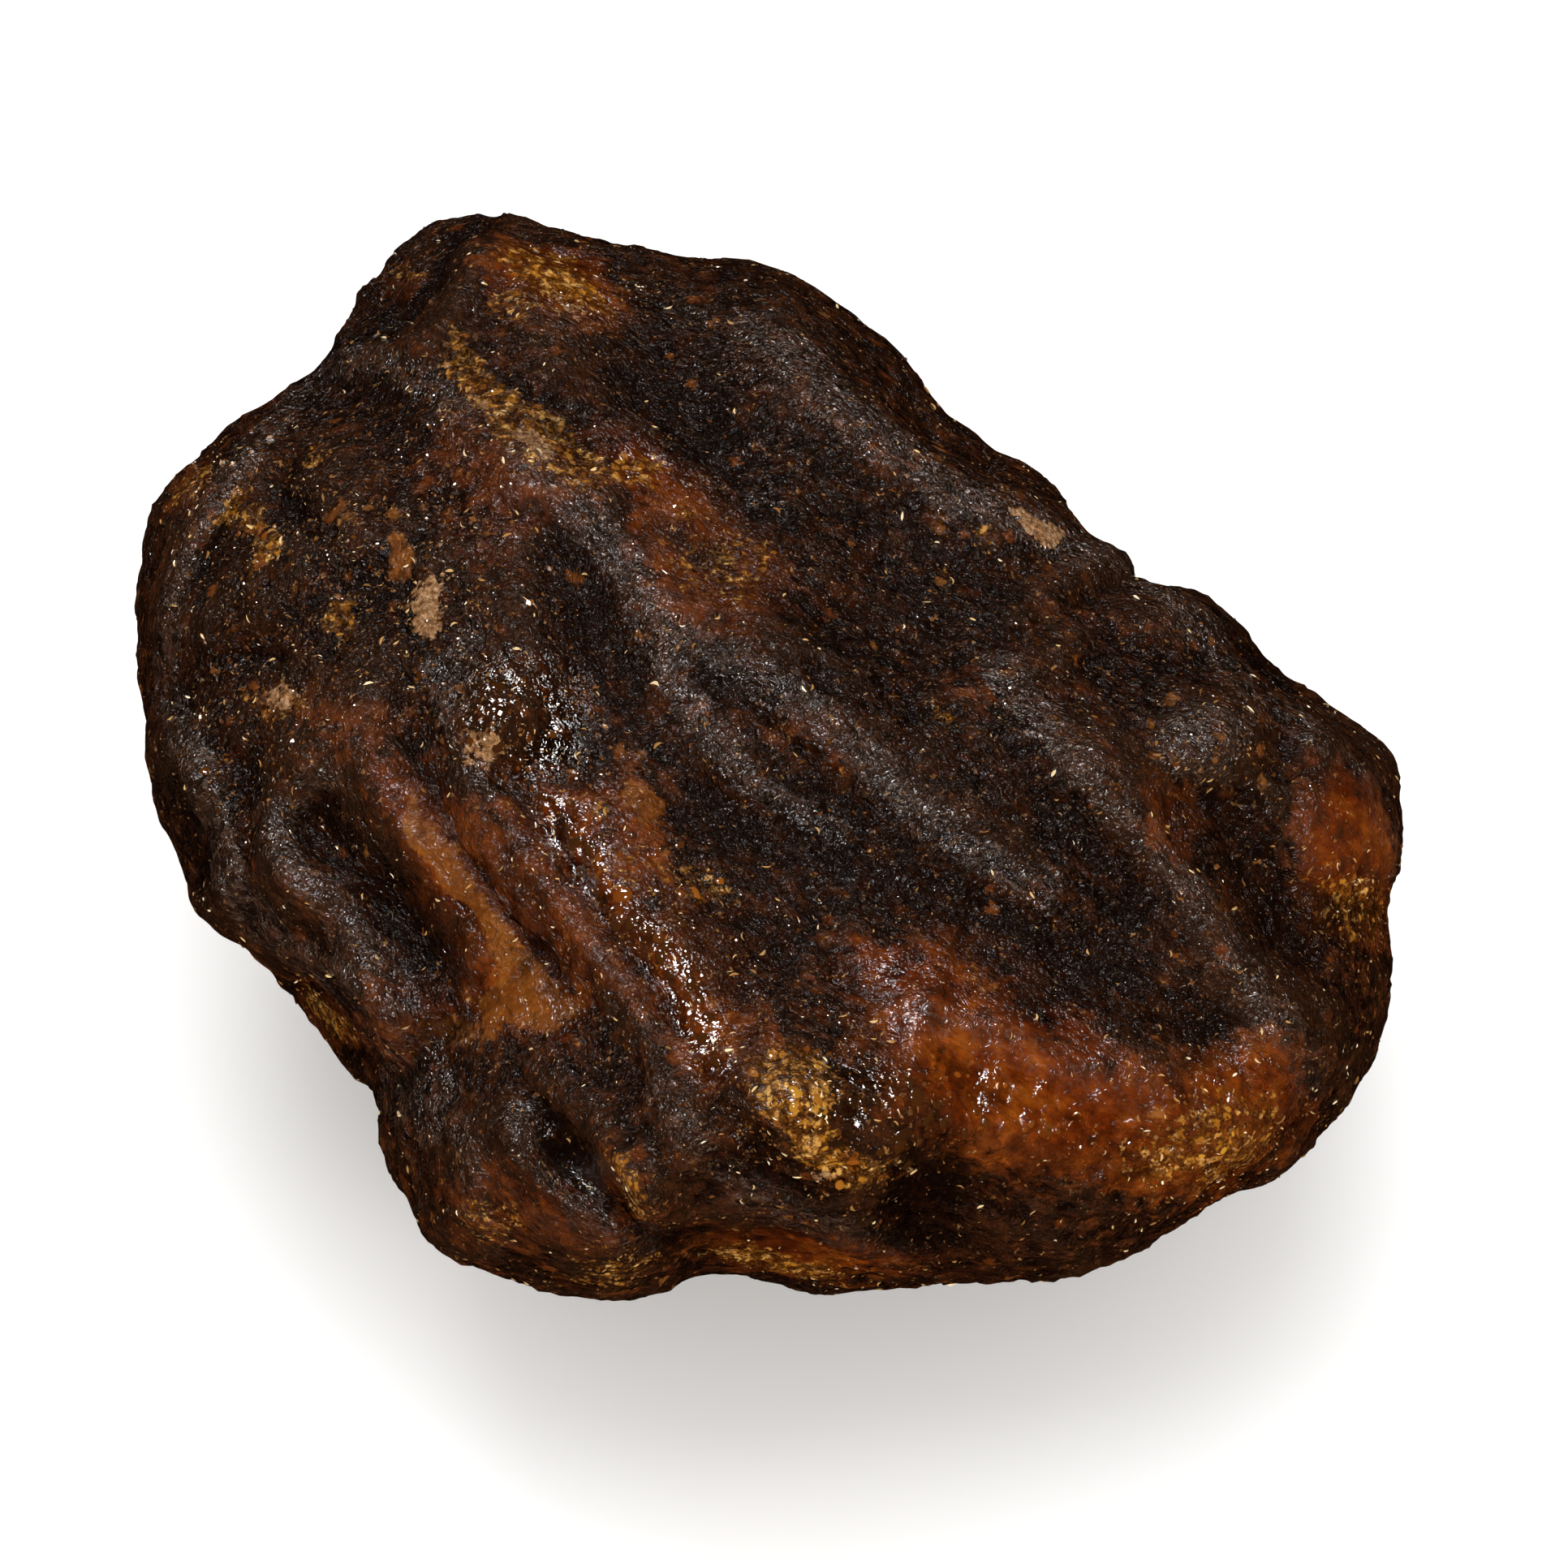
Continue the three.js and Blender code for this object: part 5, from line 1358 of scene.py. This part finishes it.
ax /= np.linalg.norm(ax, axis=1, keepdims=True)
ay = np.cross(drop_n, ax)
sx = drop_r * rng.uniform(0.8, 1.35, n_drops)
sy = drop_r * rng.uniform(0.7, 1.0, n_drops)
sz = drop_r * rng.uniform(0.24, 0.36, n_drops)
dvs = (
    drop_at[:, None, :]
    + ax[:, None, :] * (ball_v[None, :, 0] * sx[:, None])[:, :, None]
    + ay[:, None, :] * (ball_v[None, :, 1] * sy[:, None])[:, :, None]
    + drop_n[:, None, :] * (ball_v[None, :, 2] * sz[:, None] - 0.25 * sz[:, None])[:, :, None]
)
dvs[:, :, 2] = np.maximum(dvs[:, :, 2], 0.02)
dts = (ball_t[None] + (np.arange(n_drops) * kb)[:, None, None]).reshape(-1, 3)
dm = bpy.data.meshes.new("wet_drops")
dm.vertices.add(n_drops * kb)
dm.vertices.foreach_set("co", (dvs * MM).ravel())
dm.loops.add(len(dts) * 3)
dm.loops.foreach_set("vertex_index", dts.ravel())
dm.polygons.add(len(dts))
dm.polygons.foreach_set("loop_start", np.arange(0, len(dts) * 3, 3))
dm.polygons.foreach_set("use_smooth", np.ones(len(dts), bool))
dm.update(calc_edges=True)
drop_gold = np.concatenate([np.array([gold_w[int(np.argmin(((co - q) ** 2).sum(1)))] for q in spots]), gold_w[lt[pick]].mean(1)])
glow_w, amber_w = point_values("glow"), point_values("amber")
drop_amber = np.concatenate([np.array([amber_w[int(np.argmin(((co - q) ** 2).sum(1)))] for q in spots]), amber_w[lt[pick]].mean(1)])
drop_glow = np.concatenate([np.array([glow_w[int(np.argmin(((co - q) ** 2).sum(1)))] for q in spots]), glow_w[lt[pick]].mean(1)])
dtone = np.clip(np.maximum(0.45 * rng.random(n_drops), np.maximum(0.62 * drop_glow, 0.44 * drop_amber)) + 0.6 * drop_gold, 0, 1)
dm.attributes.new("tone", "FLOAT", "POINT").data.foreach_set("value", np.repeat(dtone, kb).astype(np.float32))
drops_ob = bpy.data.objects.new("wet_drops", dm)
bpy.context.collection.objects.link(drops_ob)
drop_mat, _, _ = material("wet_resin")
g = Graph(drop_mat)
shader = g.nodes.new("ShaderNodeBsdfPrincipled")
g.put(shader.inputs["Base Color"], g.ramp(g.attr("tone"), [
    (0.0, rgb(0.0070, 0.0030, 0.0014)),
    (0.40, rgb(0.0400, 0.0120, 0.0024)),
    (0.62, rgb(0.1600, 0.0400, 0.0040)),
    (1.0, rgb(0.3600, 0.1700, 0.0180)),
]))
shader.inputs["Roughness"].default_value = 0.05
shader.inputs["IOR"].default_value = 1.54
out = g.nodes.new("ShaderNodeOutputMaterial")
g.links.new(shader.outputs[0], out.inputs["Surface"])
drops_ob.data.materials.append(drop_mat)

for piece in (nugget, grains, flecks, drops_ob):
    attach(piece, "root")
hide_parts(NODE)

# ------------------------------------------------------------------ floor, light and camera
bpy.ops.mesh.primitive_plane_add(size=3.0, location=(0, 0, 0))
floor = bpy.context.object
floor.name = "floor"
floor_mat, _, _ = material("floor_white")
g = Graph(floor_mat)
shader = g.nodes.new("ShaderNodeBsdfPrincipled")
shader.inputs["Base Color"].default_value = (0.86, 0.86, 0.86, 1)
shader.inputs["Roughness"].default_value = 0.7
shader.inputs["Specular IOR Level"].default_value = 0.2
shader.inputs["Emission Color"].default_value = (1.0, 0.88, 0.76, 1)
shader.inputs["Emission Strength"].default_value = 0.14
out = g.nodes.new("ShaderNodeOutputMaterial")
g.links.new(shader.outputs[0], out.inputs["Surface"])
floor.data.materials.append(floor_mat)
floor.visible_glossy = False  # the nugget mirrors only the lamps

world = bpy.data.worlds.new("white")
world.use_nodes = True
wn, wl = world.node_tree.nodes, world.node_tree.links
wn["Background"].inputs["Color"].default_value = (1, 1, 1, 1)
wn["Background"].inputs["Strength"].default_value = 0.80
world.cycles_visibility.glossy = False
world.cycles_visibility.transmission = False
bpy.context.scene.world = world


def area_light(name, at, aim, size, power, colour=(1, 1, 1)):
    data = bpy.data.lights.new(name, "AREA")
    data.shape = "RECTANGLE"
    data.size, data.size_y = size
    data.energy = power
    data.color = colour
    ob = bpy.data.objects.new(name, data)
    bpy.context.collection.objects.link(ob)
    ob.location = at
    ob.rotation_euler = (Vector(aim) - Vector(at)).to_track_quat("-Z", "Y").to_euler()
    return ob


# two big diffusers light the crust without a sheen; a small lamp overhead gives the wet glints
back = area_light("softbox_back", (-0.10, 0.80, 0.80), (0, 0, 0.01), (0.6, 0.5), 2.0)
top = area_light("softbox_top", (-0.05, 0.0, 1.1), (0, 0, 0.01), (0.9, 0.9), 5.5)
fill = area_light("softbox_front", (0.05, -0.95, 0.40), (0, 0, 0.01), (1.0, 0.5), 10.0)
for lamp in (back, top, fill):
    lamp.visible_glossy = False
glint_lamp = area_light("lamp_glints", (-0.13, 0.08, 0.62), (0, 0, 0.02), (0.15, 0.20), 9.5)
front_lamp = area_light("lamp_front", (-0.06, -0.36, 0.60), (0, 0, 0.02), (0.08, 0.08), 1.8)
for lamp in (glint_lamp, front_lamp):
    lamp.visible_diffuse = False

CAMERA_DISTANCE = 450.0
look = np.array([0.231, -1.386])
cam_at = to_part(np.array([[look[0], look[1], CAMERA_DISTANCE]]))[0] + SHIFT
cam_data = bpy.data.cameras.new("camera")
cam_data.sensor_width = 36.0
cam_data.sensor_fit = "HORIZONTAL"
cam_data.lens = 36.0 * CAMERA_DISTANCE / (1932 * 0.0385)
cam_data.clip_start = 0.01
cam_data.clip_end = 20
cam = bpy.data.objects.new("camera", cam_data)
bpy.context.collection.objects.link(cam)
turn = Matrix(((1, 0, 0), (0, SIN, -COS), (0, COS, SIN)))
cam.matrix_world = Matrix.Translation(Vector(cam_at * MM)) @ turn.to_4x4()
bpy.context.scene.camera = cam

scene = bpy.context.scene
scene.view_settings.view_transform = "Standard"
scene.view_settings.look = "None"
scene.view_settings.exposure = 0.0
